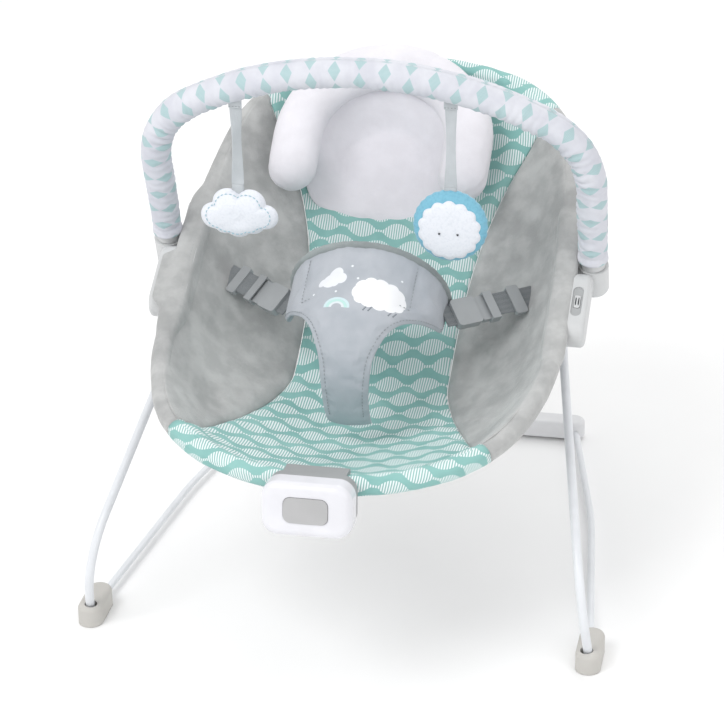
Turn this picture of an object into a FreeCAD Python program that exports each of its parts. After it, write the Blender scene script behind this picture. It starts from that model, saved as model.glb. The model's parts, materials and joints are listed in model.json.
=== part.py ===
import FreeCAD, Part
import math
import os

# Baby bouncer seat: a sprung wire frame carries a fabric sling with a padded cover,
# a head pillow, a waist restraint, a vibration unit and a lift-off toy bar.
# Millimetres. +Z is up, +Y points from the foot end to the head end, +X is the right
# hand of someone who faces the seat. The origin is on the floor, at the middle of the
# whole object's length and width.

V = FreeCAD.Vector
SIDES = (("right", 1), ("left", -1))

# ---------------------------------------------------------------- driving dimensions
FRAME_SHIFT = 15.0          # moves the whole object along Y so that the origin is central

KNEE_Y = -45.0 + FRAME_SHIFT    # where the back half and the front half of the seat meet
KNEE_Z = 277.6
BACK_SLOPE = 28.7           # degrees above level
FRONT_SLOPE = 14.2
RING_HALF_WIDTH = 193.8     # to the centre of the seat tube
BACK_LENGTH = 346.0         # from the knee to the middle of the head end
FRONT_LENGTH = 241.0        # from the knee to the middle of the foot end
TUBE_R = 7.0
TUBE_BORE_R = 5.8
HEM_R = 10.0
FIT_GAP = 0.1               # radial gap between pieces that are fitted together
FREE_GAP = 0.35             # gap between pieces that move against each other

LEG_R = 4.5
WIRE_R = 3.75
FOOT_X = 251.0
FOOT_Y = -203.0 + FRAME_SHIFT
FOOT_LENGTH = 58.0
FOOT_WIDTH = 25.0
FOOT_HEIGHT = 22.0
WIRE_Z = 9.5

REAR_BAR_Y = 284.0 + FRAME_SHIFT
REAR_BAR_HALF = 188.0
REAR_BAR_DEPTH = 28.0
REAR_BAR_TOP = 22.0
REAR_BAR_SPLIT = 9.5
REAR_BAR_UNDER = 3.5
CORNER_R = 28.0

TOY_END_X = 219.4
TOY_END_Y = 33.0 + FRAME_SHIFT
TOY_END_Z = 324.0
TOY_TILT = 18.9
TOY_STRAIGHT = 103.0
TOY_CORNER_R = 89.0
TOY_TOP_R = 346.0
TOY_TOP_TURN = 61.0
TOY_TUBE_R = 8.0
TOY_SLEEVE_R = 14.0

HUB_FRONT = 9.0             # lower end centre of the hub, along the back slope
HUB_BACK = 122.0            # upper end centre of the inner block
HUB_COVER_BACK = 60.0       # upper end centre of the outer cover
HUB_R = 16.0
HUB_INNER_R = 14.0
HUB_IN_X = 184.0
HUB_SPLIT_X = 204.0
HUB_OUT_X = 221.0
HUB_WALL = 2.4

SLING_DEPTH = 95.0
SLING_END_DEPTH = 12.0
PANEL_THICK = 9.0

UNIT_WIDTH = 86.0
UNIT_HEIGHT = 53.0
UNIT_DEPTH = 36.0
UNIT_WALL = 2.2
UNIT_TILT = 6.0
UNIT_DROP = 9.0             # the unit's middle lies this far below the front tube

BELLY_R = 79.0
RIBBON_LENGTH = 85.0
RIBBON_WIDTH = 14.0
TOY_GAP = 2.5               # lets a toy swing under the end of its ribbon
CLOUD_X = -128.0
ROUND_TOY_X = 86.0


# ---------------------------------------------------------------- geometry helpers
def unit_vector(v):
    copy = V(v)
    copy.normalize()
    return copy


def rounded_path(points, radii):
    """Straight runs joined by tangent arcs; radii belong to the inner points."""
    edges = []
    start = points[0]
    for before, corner, after, radius in zip(points, points[1:], points[2:], radii):
        back = unit_vector(before - corner)
        ahead = unit_vector(after - corner)
        half = back.getAngle(ahead) / 2
        enter = corner + back * (radius / math.tan(half))
        leave = corner + ahead * (radius / math.tan(half))
        inward = unit_vector(back + ahead)
        middle = corner + inward * (radius / math.sin(half) - radius)
        edges.append(Part.LineSegment(start, enter).toShape())
        edges.append(Part.Arc(enter, middle, leave).toShape())
        start = leave
    edges.append(Part.LineSegment(start, points[-1]).toShape())
    return Part.Wire(edges)


def drawn_path(x, u, moves, lift):
    """A path that starts at (x, u) heading along +u, drawn by moves: (length, 0) is a
    straight run and (radius, degrees) a left turn. lift maps (x, u) into space."""
    edges = []
    heading = math.radians(90)
    for size, turn in moves:
        if turn:
            sweep = math.radians(turn)
            cx = x - size * math.sin(heading)
            cu = u + size * math.cos(heading)

            def on_arc(angle):
                return cx + size * math.sin(angle), cu - size * math.cos(angle)

            middle = on_arc(heading + sweep / 2)
            end = on_arc(heading + sweep)
            edges.append(Part.Arc(lift(x, u), lift(*middle), lift(*end)).toShape())
            heading += sweep
        else:
            end = (x + size * math.cos(heading), u + size * math.sin(heading))
            edges.append(Part.LineSegment(lift(x, u), lift(*end)).toShape())
        x, u = end
    return Part.Wire(edges)


def rod(path, radius):
    """Round bar swept along a path."""
    edge = path.OrderedEdges[0]
    at = edge.FirstParameter
    along = edge.tangentAt(at)
    start = edge.valueAt(at)
    if path.OrderedVertexes[0].Point.distanceToPoint(start) > 1e-6:
        start = edge.valueAt(edge.LastParameter)
        along = edge.tangentAt(edge.LastParameter) * -1
    ring = Part.Wire(Part.makeCircle(radius, start, along))
    return path.makePipeShell([ring], True, False)


def cylinder(radius, start, end):
    along = end - start
    return Part.makeCylinder(radius, along.Length, start, along)


def block(low, high):
    low, high = V(*low), V(*high)
    size = high - low
    return Part.makeBox(size.x, size.y, size.z, low)


def rounded_block(low, high, radius, along):
    """A block whose four edges that run along the named axis are rounded."""
    shape = block(low, high)
    axis = {"x": V(1, 0, 0), "y": V(0, 1, 0), "z": V(0, 0, 1)}[along]
    edges = [e for e in shape.Edges if abs(e.tangentAt(e.FirstParameter).dot(axis)) > 0.99]
    return shape.makeFillet(radius, edges)


def soften(shape, radius, wanted):
    """Fillet the edges for which wanted(edge) holds."""
    return shape.makeFillet(radius, [e for e in shape.Edges if wanted(e)])


def placed(shape, origin, x_axis, y_axis):
    """Move a shape from its own axes to an origin with the given x and y directions."""
    x = unit_vector(x_axis)
    z = unit_vector(x_axis.cross(y_axis))
    y = z.cross(x)
    matrix = FreeCAD.Matrix(x.x, y.x, z.x, origin.x,
                            x.y, y.y, z.y, origin.y,
                            x.z, y.z, z.z, origin.z,
                            0, 0, 0, 1)
    moved = shape.copy()
    moved.Placement = FreeCAD.Placement(matrix).multiply(moved.Placement)
    return moved


def on_side(shape, sign):
    """Every sided piece is drawn on the right; the left one is its mirror image."""
    if sign > 0:
        return shape
    return shape.mirror(V(0, 0, 0), V(1, 0, 0))


# ---------------------------------------------------------------- the seat's own planes
def back_point(x, s, n=0.0):
    """x across, s up the back from the knee, n out of the seat."""
    slope = math.radians(BACK_SLOPE)
    return V(x, KNEE_Y + s * math.cos(slope) - n * math.sin(slope),
             KNEE_Z + s * math.sin(slope) + n * math.cos(slope))


def front_point(x, u, n=0.0):
    """u runs from the knee towards the foot end."""
    slope = math.radians(FRONT_SLOPE)
    return V(x, KNEE_Y - u * math.cos(slope) - n * math.sin(slope),
             KNEE_Z - u * math.sin(slope) + n * math.cos(slope))


class Outline:
    """One half of the seat ring: a straight, a long side arc, a corner and an end arc."""

    def __init__(self, length, straight, side_turn, corner_r, end_turn):
        self.straight = straight
        self.side_turn = side_turn
        self.corner_r = corner_r
        self.end_turn = end_turn
        a = math.radians(side_turn)
        b = math.radians(90 - end_turn)
        rise = length - straight - corner_r * (math.sin(b) - math.sin(a))
        across = RING_HALF_WIDTH - corner_r * (math.cos(a) - math.cos(b))
        m11, m12 = math.sin(a), 1 - math.sin(b)
        m21, m22 = 1 - math.cos(a), math.cos(b)
        det = m11 * m22 - m12 * m21
        self.side_r = (rise * m22 - m12 * across) / det
        self.end_r = (m11 * across - rise * m21) / det
        self.side_rise = self.side_r * math.sin(a)
        self.corner_rise = corner_r * (math.sin(b) - math.sin(a))

    def moves(self, lead):
        """Turns of the whole half ring, from one hub round to the other."""
        corner_turn = 90 - self.side_turn - self.end_turn
        half = [(lead, 0), (self.side_r, self.side_turn), (self.corner_r, corner_turn)]
        return half + [(self.end_r, 2 * self.end_turn)] + half[::-1]

    def half_width(self, u):
        """Half width of the ring at a distance u from the knee."""
        rise = u - self.straight
        if rise <= 0:
            return RING_HALF_WIDTH
        a = math.radians(self.side_turn)
        b = math.radians(90 - self.end_turn)
        if rise <= self.side_rise:
            return RING_HALF_WIDTH - self.side_r + math.sqrt(self.side_r ** 2 - rise ** 2)
        x = RING_HALF_WIDTH - self.side_r * (1 - math.cos(a))
        rise -= self.side_rise
        if rise <= self.corner_rise:
            sine = math.sin(a) + rise / self.corner_r
            return x - self.corner_r * (math.cos(a) - math.sqrt(1 - sine ** 2))
        x -= self.corner_r * (math.cos(a) - math.cos(b))
        sine = math.sin(b) + (rise - self.corner_rise) / self.end_r
        return x - self.end_r * (math.cos(b) - math.sqrt(max(0.0, 1 - sine ** 2)))


BACK = Outline(BACK_LENGTH, 60.0, 12.0, 120.0, 20.0)
FRONT = Outline(FRONT_LENGTH, 25.0, 20.0, 150.0, 25.0)
BACK_TUBE_START = 24.0      # where each seat tube ends inside the hub, from the knee
FRONT_TUBE_START = -12.0
BACK_HEM_START = HUB_BACK + HUB_INNER_R + 1     # the hems stop short of the hubs
FRONT_HEM_START = 17.0
BACK_HEM_ROOM = 100.0       # room for the back hem is cut from here on


def ring_half_width(s):
    return BACK.half_width(s) if s >= 0 else FRONT.half_width(-s)


# ---------------------------------------------------------------- base frame on the floor
def base_wire_path():
    side_bend = V(221, 74.5 + FRAME_SHIFT, WIRE_Z)
    corner = V(177.4, REAR_BAR_Y, WIRE_Z)
    start = V(FOOT_X, FOOT_Y + 15, WIRE_Z)
    right = [start, side_bend, corner]
    left = [V(-p.x, p.y, p.z) for p in reversed(right)]
    return rounded_path(right + left, [600.0, CORNER_R, CORNER_R, 600.0])


def leg_path():
    foot_end = V(FOOT_X + 1, FOOT_Y + 1, 7.0)
    forward_bend = V(244.6, FOOT_Y - 25, 84.6)
    upper_bend = V(196.5, -12 + FRAME_SHIFT, 246.0)
    top = V(196.5, -19 + FRAME_SHIFT, 278.0)
    return rounded_path([foot_end, forward_bend, upper_bend, top], [73.0, 26.0])


def boot(wire_room):
    """Rubber foot: a long pad with a cup for the leg and a bore for the floor wire."""
    half = FOOT_WIDTH / 2
    middle_y = FOOT_Y + 14
    low = (FOOT_X - half, middle_y - FOOT_LENGTH / 2, 0)
    high = (FOOT_X + half, middle_y + FOOT_LENGTH / 2, FOOT_HEIGHT)
    pad = rounded_block(low, high, half - 0.2, "z")
    pad = soften(pad, 6.0, lambda e: e.BoundBox.ZMin > FOOT_HEIGHT - 0.01)
    cup_low = V(FOOT_X + 1, FOOT_Y + 2, 2.5)
    cup_high = V(FOOT_X - 3.0, FOOT_Y - 8.5, 34)
    cup = cylinder(LEG_R + 1.9, cup_low, cup_high)
    return pad.cut(cup).cut(wire_room)


def rear_bar():
    """Moulded crossbar in two halves over the floor wire, with rubber pads and screws."""
    front = REAR_BAR_Y - REAR_BAR_DEPTH / 2
    back = REAR_BAR_Y + REAR_BAR_DEPTH / 2
    room = rod(base_wire_path(), WIRE_R + FIT_GAP)
    whole = rounded_block((-REAR_BAR_HALF, front, REAR_BAR_UNDER),
                          (REAR_BAR_HALF, back, REAR_BAR_TOP), REAR_BAR_DEPTH / 2 - 1, "z")
    whole = soften(whole, 5.0, lambda e: e.BoundBox.ZMin > REAR_BAR_TOP - 0.01)
    whole = whole.cut(room)
    half_space = block((-300, front - 50, -50), (300, back + 50, REAR_BAR_SPLIT))
    screw_x = (-140.0, -47.0, 47.0, 140.0)
    screw_y = REAR_BAR_Y - 9
    screws = []
    for x in screw_x:
        shank = cylinder(1.5, V(x, screw_y, REAR_BAR_UNDER + 1), V(x, screw_y, 16))
        head = cylinder(3.0, V(x, screw_y, REAR_BAR_UNDER + 0.2), V(x, screw_y, 7))
        screws.append(shank.fuse(head))
    holes = [cylinder(1.5 + FIT_GAP, V(x, screw_y, 4), V(x, screw_y, 16.2)).fuse(
        cylinder(3.0 + FIT_GAP, V(x, screw_y, 0), V(x, screw_y, 7))) for x in screw_x]
    for hole in holes:
        whole = whole.cut(hole)
    upper = whole.cut(half_space)
    lower = whole.common(half_space)
    pads = []
    for x in (-REAR_BAR_HALF + 26, -70, 70, REAR_BAR_HALF - 26):
        pads.append(rounded_block((x - 18, front + 8, 0), (x + 18, back - 3, REAR_BAR_UNDER),
                                  6, "z"))
    return upper, lower, Part.makeCompound(pads), Part.makeCompound(screws)


# ---------------------------------------------------------------- hubs at the knee
def stadium(radius, x_low, x_high, upper_s):
    """A bar with round ends that lies along the back slope at the side of the seat."""
    across = math.radians(90)
    points = []
    for s, start in ((upper_s, -across), (HUB_FRONT, across)):
        for step in (0, 0.5, 1):
            turn = start + step * math.pi
            points.append(back_point(x_low, s + radius * math.cos(turn),
                                     radius * math.sin(turn)))
    edges = [Part.Arc(*points[:3]).toShape(),
             Part.LineSegment(points[2], points[3]).toShape(),
             Part.Arc(*points[3:]).toShape(),
             Part.LineSegment(points[5], points[0]).toShape()]
    face = Part.Face(Part.Wire(edges))
    return face.extrude(V(x_high - x_low, 0, 0))


def toy_bar_point(x, h, depth=0.0):
    """x across, h up the toy bar's plane from its ends, depth forward out of the plane."""
    tilt = math.radians(TOY_TILT)
    return V(x, TOY_END_Y - h * math.sin(tilt) - depth * math.cos(tilt),
             TOY_END_Z + h * math.cos(tilt) - depth * math.sin(tilt))


PLUG_R = 10.0
PLUG_DEPTH = 26.0
PLUG_HEAD_R = 12.5
SOCKET_R = 15.0
HUB_SCREWS = ((8.0, 10.0), (42.0, -10.3), (66.0, -10.3))     # along the back slope, above it
SNAP_S = 34.0               # place of the leg's release button along the hub
SNAP_X = 210.5


def snap_button():
    """Release button that holds the leg: a short bar in the hub's upper edge."""
    bar = rounded_block((-3.0, -7.5, -8), (3.0, 7.5, 1.0), 2.0, "z")
    foot = block((-4.5, -9.5, -9.5), (4.5, 9.5, -7.5))
    return placed(bar.fuse(foot), back_point(SNAP_X, SNAP_S, HUB_R - 1.5),
                  V(1, 0, 0), back_point(0, 1) - back_point(0, 0))


def hub_pieces():
    """Inner block that clamps the tubes and the leg, and an outer cover with the socket."""
    tube_room = rod(seat_tube_path("back"), TUBE_R + FIT_GAP).fuse(
        rod(seat_tube_path("front"), TUBE_R + FIT_GAP))
    leg_room = rod(leg_path(), LEG_R + FIT_GAP)
    inner = stadium(HUB_INNER_R, HUB_IN_X, HUB_SPLIT_X, HUB_BACK)
    receiver = cylinder(7.2, V(196.5, -14.4 + FRAME_SHIFT, 257), V(196.5, -19 + FRAME_SHIFT, 282))
    inner = inner.fuse(receiver).removeSplitter()
    outer = stadium(HUB_R, HUB_SPLIT_X, HUB_OUT_X, HUB_COVER_BACK)
    outer = soften(outer, 5.0, lambda e: e.BoundBox.XMin > HUB_OUT_X - 0.01)
    outer = outer.cut(stadium(HUB_R - HUB_WALL, HUB_SPLIT_X, HUB_OUT_X - HUB_WALL,
                              HUB_COVER_BACK))
    socket_low = toy_bar_point(TOY_END_X + 0.5, -PLUG_DEPTH - 8)
    socket_high = toy_bar_point(TOY_END_X + 0.5, -0.5)
    socket = cylinder(SOCKET_R, socket_low, socket_high)
    socket = soften(socket, 5.0, lambda e: e.BoundBox.ZMax < socket_low.z + 6)
    along = back_point(0, 1) - back_point(0, 0)
    web = rounded_block((HUB_SPLIT_X, HUB_COVER_BACK + 4, -HUB_R + 1), (HUB_OUT_X, 92, 1.0),
                        3.0, "y")
    web = web.common(block((HUB_SPLIT_X, HUB_COVER_BACK + 4, -HUB_R), (HUB_OUT_X, 92, 2.0)))
    web = placed(web, back_point(0, 0), V(1, 0, 0), along)
    outer = outer.fuse(socket.fuse(web))
    outer = outer.cut(cylinder(PLUG_R + FREE_GAP, toy_bar_point(TOY_END_X, -PLUG_DEPTH - 2),
                               toy_bar_point(TOY_END_X, 5)))
    pocket = rounded_block((-5.2, -18, -1.4), (5.2, 18, 10), 5.0, "z")
    window = rounded_block((-3.4, -7.9, -10), (3.4, 7.9, 10), 2.2, "z")
    top = back_point(SNAP_X, SNAP_S, HUB_R)
    outer = outer.cut(placed(pocket, top, V(1, 0, 0), along))
    outer = outer.cut(placed(window, top, V(1, 0, 0), along))
    screws = []
    for s, n in HUB_SCREWS:
        head = cylinder(3.2, back_point(HUB_IN_X + 0.2, s, n), back_point(HUB_IN_X + 2.5, s, n))
        shank = cylinder(1.5, back_point(HUB_IN_X + 2.5, s, n), back_point(HUB_SPLIT_X + 8, s, n))
        screws.append(head.fuse(shank))
        post = cylinder(3.6, back_point(HUB_SPLIT_X, s, n), back_point(HUB_OUT_X - 1, s, n))
        outer = outer.fuse(post)
        hole = cylinder(1.5 + FIT_GAP, back_point(HUB_IN_X - 1, s, n),
                        back_point(HUB_SPLIT_X + 8.2, s, n))
        sink = cylinder(3.2 + FIT_GAP, back_point(HUB_IN_X - 1, s, n),
                        back_point(HUB_IN_X + 2.6, s, n))
        outer = outer.cut(hole)
        inner = inner.cut(hole.fuse(sink))
    inner = inner.cut(tube_room).cut(leg_room)
    return inner, outer, Part.makeCompound(screws)


# ---------------------------------------------------------------- seat tubes and hem
def seat_tube_path(half):
    if half == "back":
        lead = BACK.straight - BACK_TUBE_START
        return drawn_path(RING_HALF_WIDTH, BACK_TUBE_START, BACK.moves(lead), back_point)
    lead = FRONT.straight - FRONT_TUBE_START
    return drawn_path(RING_HALF_WIDTH, FRONT_TUBE_START, FRONT.moves(lead), front_point)


def hem(half):
    """Fabric channel round a seat tube, open where the hubs are."""
    if half == "back":
        path = drawn_path_from(BACK, BACK_HEM_START, back_point)
    else:
        path = drawn_path_from(FRONT, FRONT_HEM_START, front_point)
    return rod(path, HEM_R).cut(rod(path, TUBE_R + FIT_GAP))


def drawn_path_from(outline, start, lift):
    """The half ring from a distance start past the knee, round to the same place."""
    if start <= outline.straight:
        return drawn_path(RING_HALF_WIDTH, start, outline.moves(outline.straight - start), lift)
    trimmed = math.degrees(math.asin((start - outline.straight) / outline.side_r))
    x = outline.half_width(start)
    moves = outline.moves(0.0)[1:-1]
    moves[0] = (outline.side_r, outline.side_turn - trimmed)
    moves[-1] = moves[0]
    return turned_path(x, start, trimmed, moves, lift)


def turned_path(x, u, first_heading, moves, lift):
    """As drawn_path, but the first heading is already turned by some degrees."""
    cosine, sine = math.cos(math.radians(first_heading)), math.sin(math.radians(first_heading))

    def turned_lift(px, pu):
        dx, du = px - x, pu - u
        return lift(x + dx * cosine - du * sine, u + dx * sine + du * cosine)

    return drawn_path(x, u, moves, turned_lift)


# ---------------------------------------------------------------- seat cover
def sling_depth(s):
    reach = BACK_LENGTH if s > 0 else FRONT_LENGTH
    fall = math.cos(min(1.0, abs(s) / reach) * math.pi / 2)
    return SLING_END_DEPTH + (SLING_DEPTH - SLING_END_DEPTH) * fall


def sling_slope(s):
    """Slope of the ring at s in degrees, eased across the knee."""
    ease = 60.0
    t = max(-1.0, min(1.0, s / ease))
    middle = (BACK_SLOPE + FRONT_SLOPE) / 2
    return middle + (BACK_SLOPE - FRONT_SLOPE) / 2 * math.sin(t * math.pi / 2)


def sling_point(x, s, n):
    """A point of the sling: n is measured along the ring's own normal at s."""
    slope = math.radians(sling_slope(s))
    middle = back_point(0, s) if s >= 0 else front_point(0, -s)
    return V(x, middle.y - n * math.sin(slope), middle.z + n * math.cos(slope))


def sling_height(x, s):
    """How far the fabric lies below the ring at x, on a round arc from side to side."""
    depth = sling_depth(s)
    half = ring_half_width(s)
    radius = (half ** 2 + depth ** 2) / (2 * depth)
    return radius - depth - math.sqrt(radius ** 2 - min(abs(x), half) ** 2)


def centre_half_width(s):
    """The centre panel is narrow at the waist and fans out to both ends."""
    waist = 80.0
    fan = 66.0 * (s / 275.0) ** 2.9 if s > 0 else 0.40 * (math.hypot(s, 12.0) - 12.0)
    return min(waist + fan, ring_half_width(s) - HEM_R - 0.5)


def cover_section(s, x_low, x_high):
    """Closed outline of a padded panel at s: the top and bottom are arcs."""
    middle = (x_low + x_high) / 2
    top = [sling_point(x, s, sling_height(x, s)) for x in (x_low, middle, x_high)]
    low = [sling_point(x, s, sling_height(x, s) - PANEL_THICK)
           for x in (x_high, middle, x_low)]
    edges = [Part.Arc(*top).toShape(),
             Part.LineSegment(top[2], low[0]).toShape(),
             Part.Arc(*low).toShape(),
             Part.LineSegment(low[2], top[0]).toShape()]
    return Part.Wire(edges)


def panel(stations, x_low, x_high):
    sections = [cover_section(s, x_low(s), x_high(s)) for s in stations]
    return Part.makeLoft(sections, True, True)


def seat_cover():
    front_end = -FRONT_LENGTH + HEM_R + 2
    back_end = BACK_LENGTH - HEM_R - 2
    centre_stations = [front_end, -215, -190, -160, -130, -95, -60, -25, 10, 50, 95, 140,
                       185, 225, 260, 290, 315, back_end]
    centre = panel(centre_stations, lambda s: -centre_half_width(s), centre_half_width)
    for outline, start, lift in ((BACK, BACK_HEM_ROOM, back_point),
                                 (FRONT, FRONT_HEM_START, front_point)):
        centre = centre.cut(rod(drawn_path_from(outline, start, lift), HEM_R + FIT_GAP))
    centre = max(centre.Solids, key=lambda solid: solid.Volume)
    side_stations = [-165, -140, -115, -90, -60, -25, 10, 50, 95, 140, 185, 225, 255, 270]
    side = panel(side_stations, lambda s: centre_half_width(s) + 0.2,
                 lambda s: ring_half_width(s) - HEM_R - 0.4)
    side = side.cut(centre)
    return centre, max(side.Solids, key=lambda solid: solid.Volume)


# ---------------------------------------------------------------- pillow and restraint
def head_pillow(cover):
    """U-shaped bolster with a thin middle, lying off centre at the head end of the cover."""
    centre_x, centre_s = -18.0, 231.0
    ring_r = 88.0
    leg = 37.0
    bolster_r = 26.0
    lean = math.radians(9)

    def lift(x, u):
        return back_point(x + centre_x, centre_s + u * math.cos(lean), 9 + u * math.sin(lean))

    path = drawn_path(ring_r, -leg, [(leg, 0), (ring_r, 180.0), (leg, 0)], lift)
    bolster = rod(path, bolster_r)
    for x in (ring_r, -ring_r):
        bolster = bolster.fuse(Part.makeSphere(bolster_r, lift(x, -leg)))
    inside = rounded_block((-ring_r, -52, -22), (ring_r, 68, -10), 40, "z")
    along = lift(0, 1) - lift(0, 0)
    inside = placed(inside, lift(0, 0), V(1, 0, 0), along)
    pillow = bolster.fuse(inside)
    hem_room = rod(drawn_path_from(BACK, BACK_HEM_ROOM, back_point), HEM_R + FREE_GAP)
    for piece in cover + (hem_room,):
        pillow = pillow.cut(piece)
    return max(pillow.Solids, key=lambda s: s.Volume)


def restraint_panel(cover):
    """Lap panel that arches over the child, with two wings and a crotch strap."""
    front_s, back_s, axis_n = -30.0, 44.0, -5.0
    wall = 6.0

    def shell(radius):
        tube = cylinder(radius, back_point(0, front_s, axis_n), back_point(0, back_s, axis_n))
        return tube.fuse(Part.makeSphere(radius, back_point(0, front_s, axis_n)))

    body = shell(BELLY_R).cut(shell(BELLY_R - wall))
    body = body.cut(cylinder(BELLY_R - wall, back_point(0, front_s, axis_n),
                             back_point(0, back_s + 10, axis_n)))
    across = V(1, 0, 0)
    along = back_point(0, 1) - back_point(0, 0)
    shape = [(84, back_s - 1), (84, 4), (62, -22), (40, -52), (26, -80), (24, -125)]
    outline = [V(x, s, 0) for x, s in shape] + [V(-x, s, 0) for x, s in reversed(shape)]
    face = Part.Face(Part.makePolygon(outline + outline[:1]))
    wings = face.extrude(V(0, 0, 120))
    wings.translate(V(0, 0, -14))
    crotch = block((-24, -125, -60), (24, -60, 40))
    keep = placed(wings.fuse(crotch), back_point(0, 0), across, along)
    body = body.common(keep)
    for piece in cover:
        body = body.cut(piece)
    return max(body.Solids, key=lambda s: s.Volume)


def strap_frame(shape):
    """Place a piece of the waist strap: x runs from the panel's wing out to the cover."""
    start = back_point(85.5, 20, -4)
    end = back_point(152, 70, -36)
    return placed(shape, start, end - start, back_point(0, 1) - back_point(0, 0))


def waist_strap_pieces(cover):
    """Webbing, buckle and adjuster of the right side, in the strap's own frame."""
    socket = rounded_block((2, -15, -4.5), (30, 15, 4.5), 4, "z")
    socket = socket.cut(block((14, -11.5, -2.6), (31, 11.5, 2.6)))
    tongue = block((18, -11, -2.1), (31, -5, 2.1)).fuse(block((18, 5, -2.1), (31, 11, 2.1)))
    tongue = tongue.fuse(rounded_block((30.5, -13.5, -3), (42, 13.5, 3), 2.5, "z"))
    loop = block((40, -15.5, -3), (50, 15.5, 7)).cut(block((39, -13.2, 3.1), (51, 13.2, 5.7)))
    tongue = tongue.fuse(loop.cut(block((42.5, -12, -4), (47.5, 12, 2))))
    strap = block((43, -12.5, 3.6), (112, 12.5, 5.2))
    adjuster = rounded_block((68, -16, 1.8), (82, 16, 7.2), 3, "z")
    adjuster = adjuster.cut(block((67, -12.8, 3.4), (83, 12.8, 5.4)))
    pieces = {"buckle_socket": socket, "buckle_tongue": tongue, "waist_strap": strap,
              "strap_adjuster": adjuster}
    pieces = {name: strap_frame(shape) for name, shape in pieces.items()}
    for name in ("waist_strap", "strap_adjuster"):
        for piece in cover:
            pieces[name] = pieces[name].cut(piece)
    pieces["waist_strap"] = max(pieces["waist_strap"].Solids, key=lambda s: s.CenterOfMass.z)
    return pieces


# ---------------------------------------------------------------- vibration unit
def unit_frame(shape):
    """The unit's own frame: origin in the front tube, y forward, z up, then tilted."""
    origin = front_point(0, FRONT_LENGTH)
    tilt = math.radians(UNIT_TILT)
    return placed(shape, origin, V(-1, 0, 0), V(0, -math.cos(tilt), math.sin(tilt)))


UNIT_BACK = HEM_R + 1.0     # rear face of the unit in its own frame
UNIT_FRONT = UNIT_BACK + UNIT_DEPTH
UNIT_SEAM = UNIT_BACK + 13.0
UNIT_TOP = UNIT_HEIGHT / 2 - UNIT_DROP
UNIT_BOTTOM = -UNIT_HEIGHT / 2 - UNIT_DROP
CELL_R = 13.1
CELL_LENGTH = 50.0
BUTTON_WIDTH = 42.0
BUTTON_HEIGHT = 25.0
BUTTON_Z = -UNIT_DROP + 1.0


def unit_block(inset, y_low, y_high):
    half = UNIT_WIDTH / 2 - inset
    return rounded_block((-half, y_low, UNIT_BOTTOM + inset), (half, y_high, UNIT_TOP - inset),
                         16.0 - inset, "y")


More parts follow.
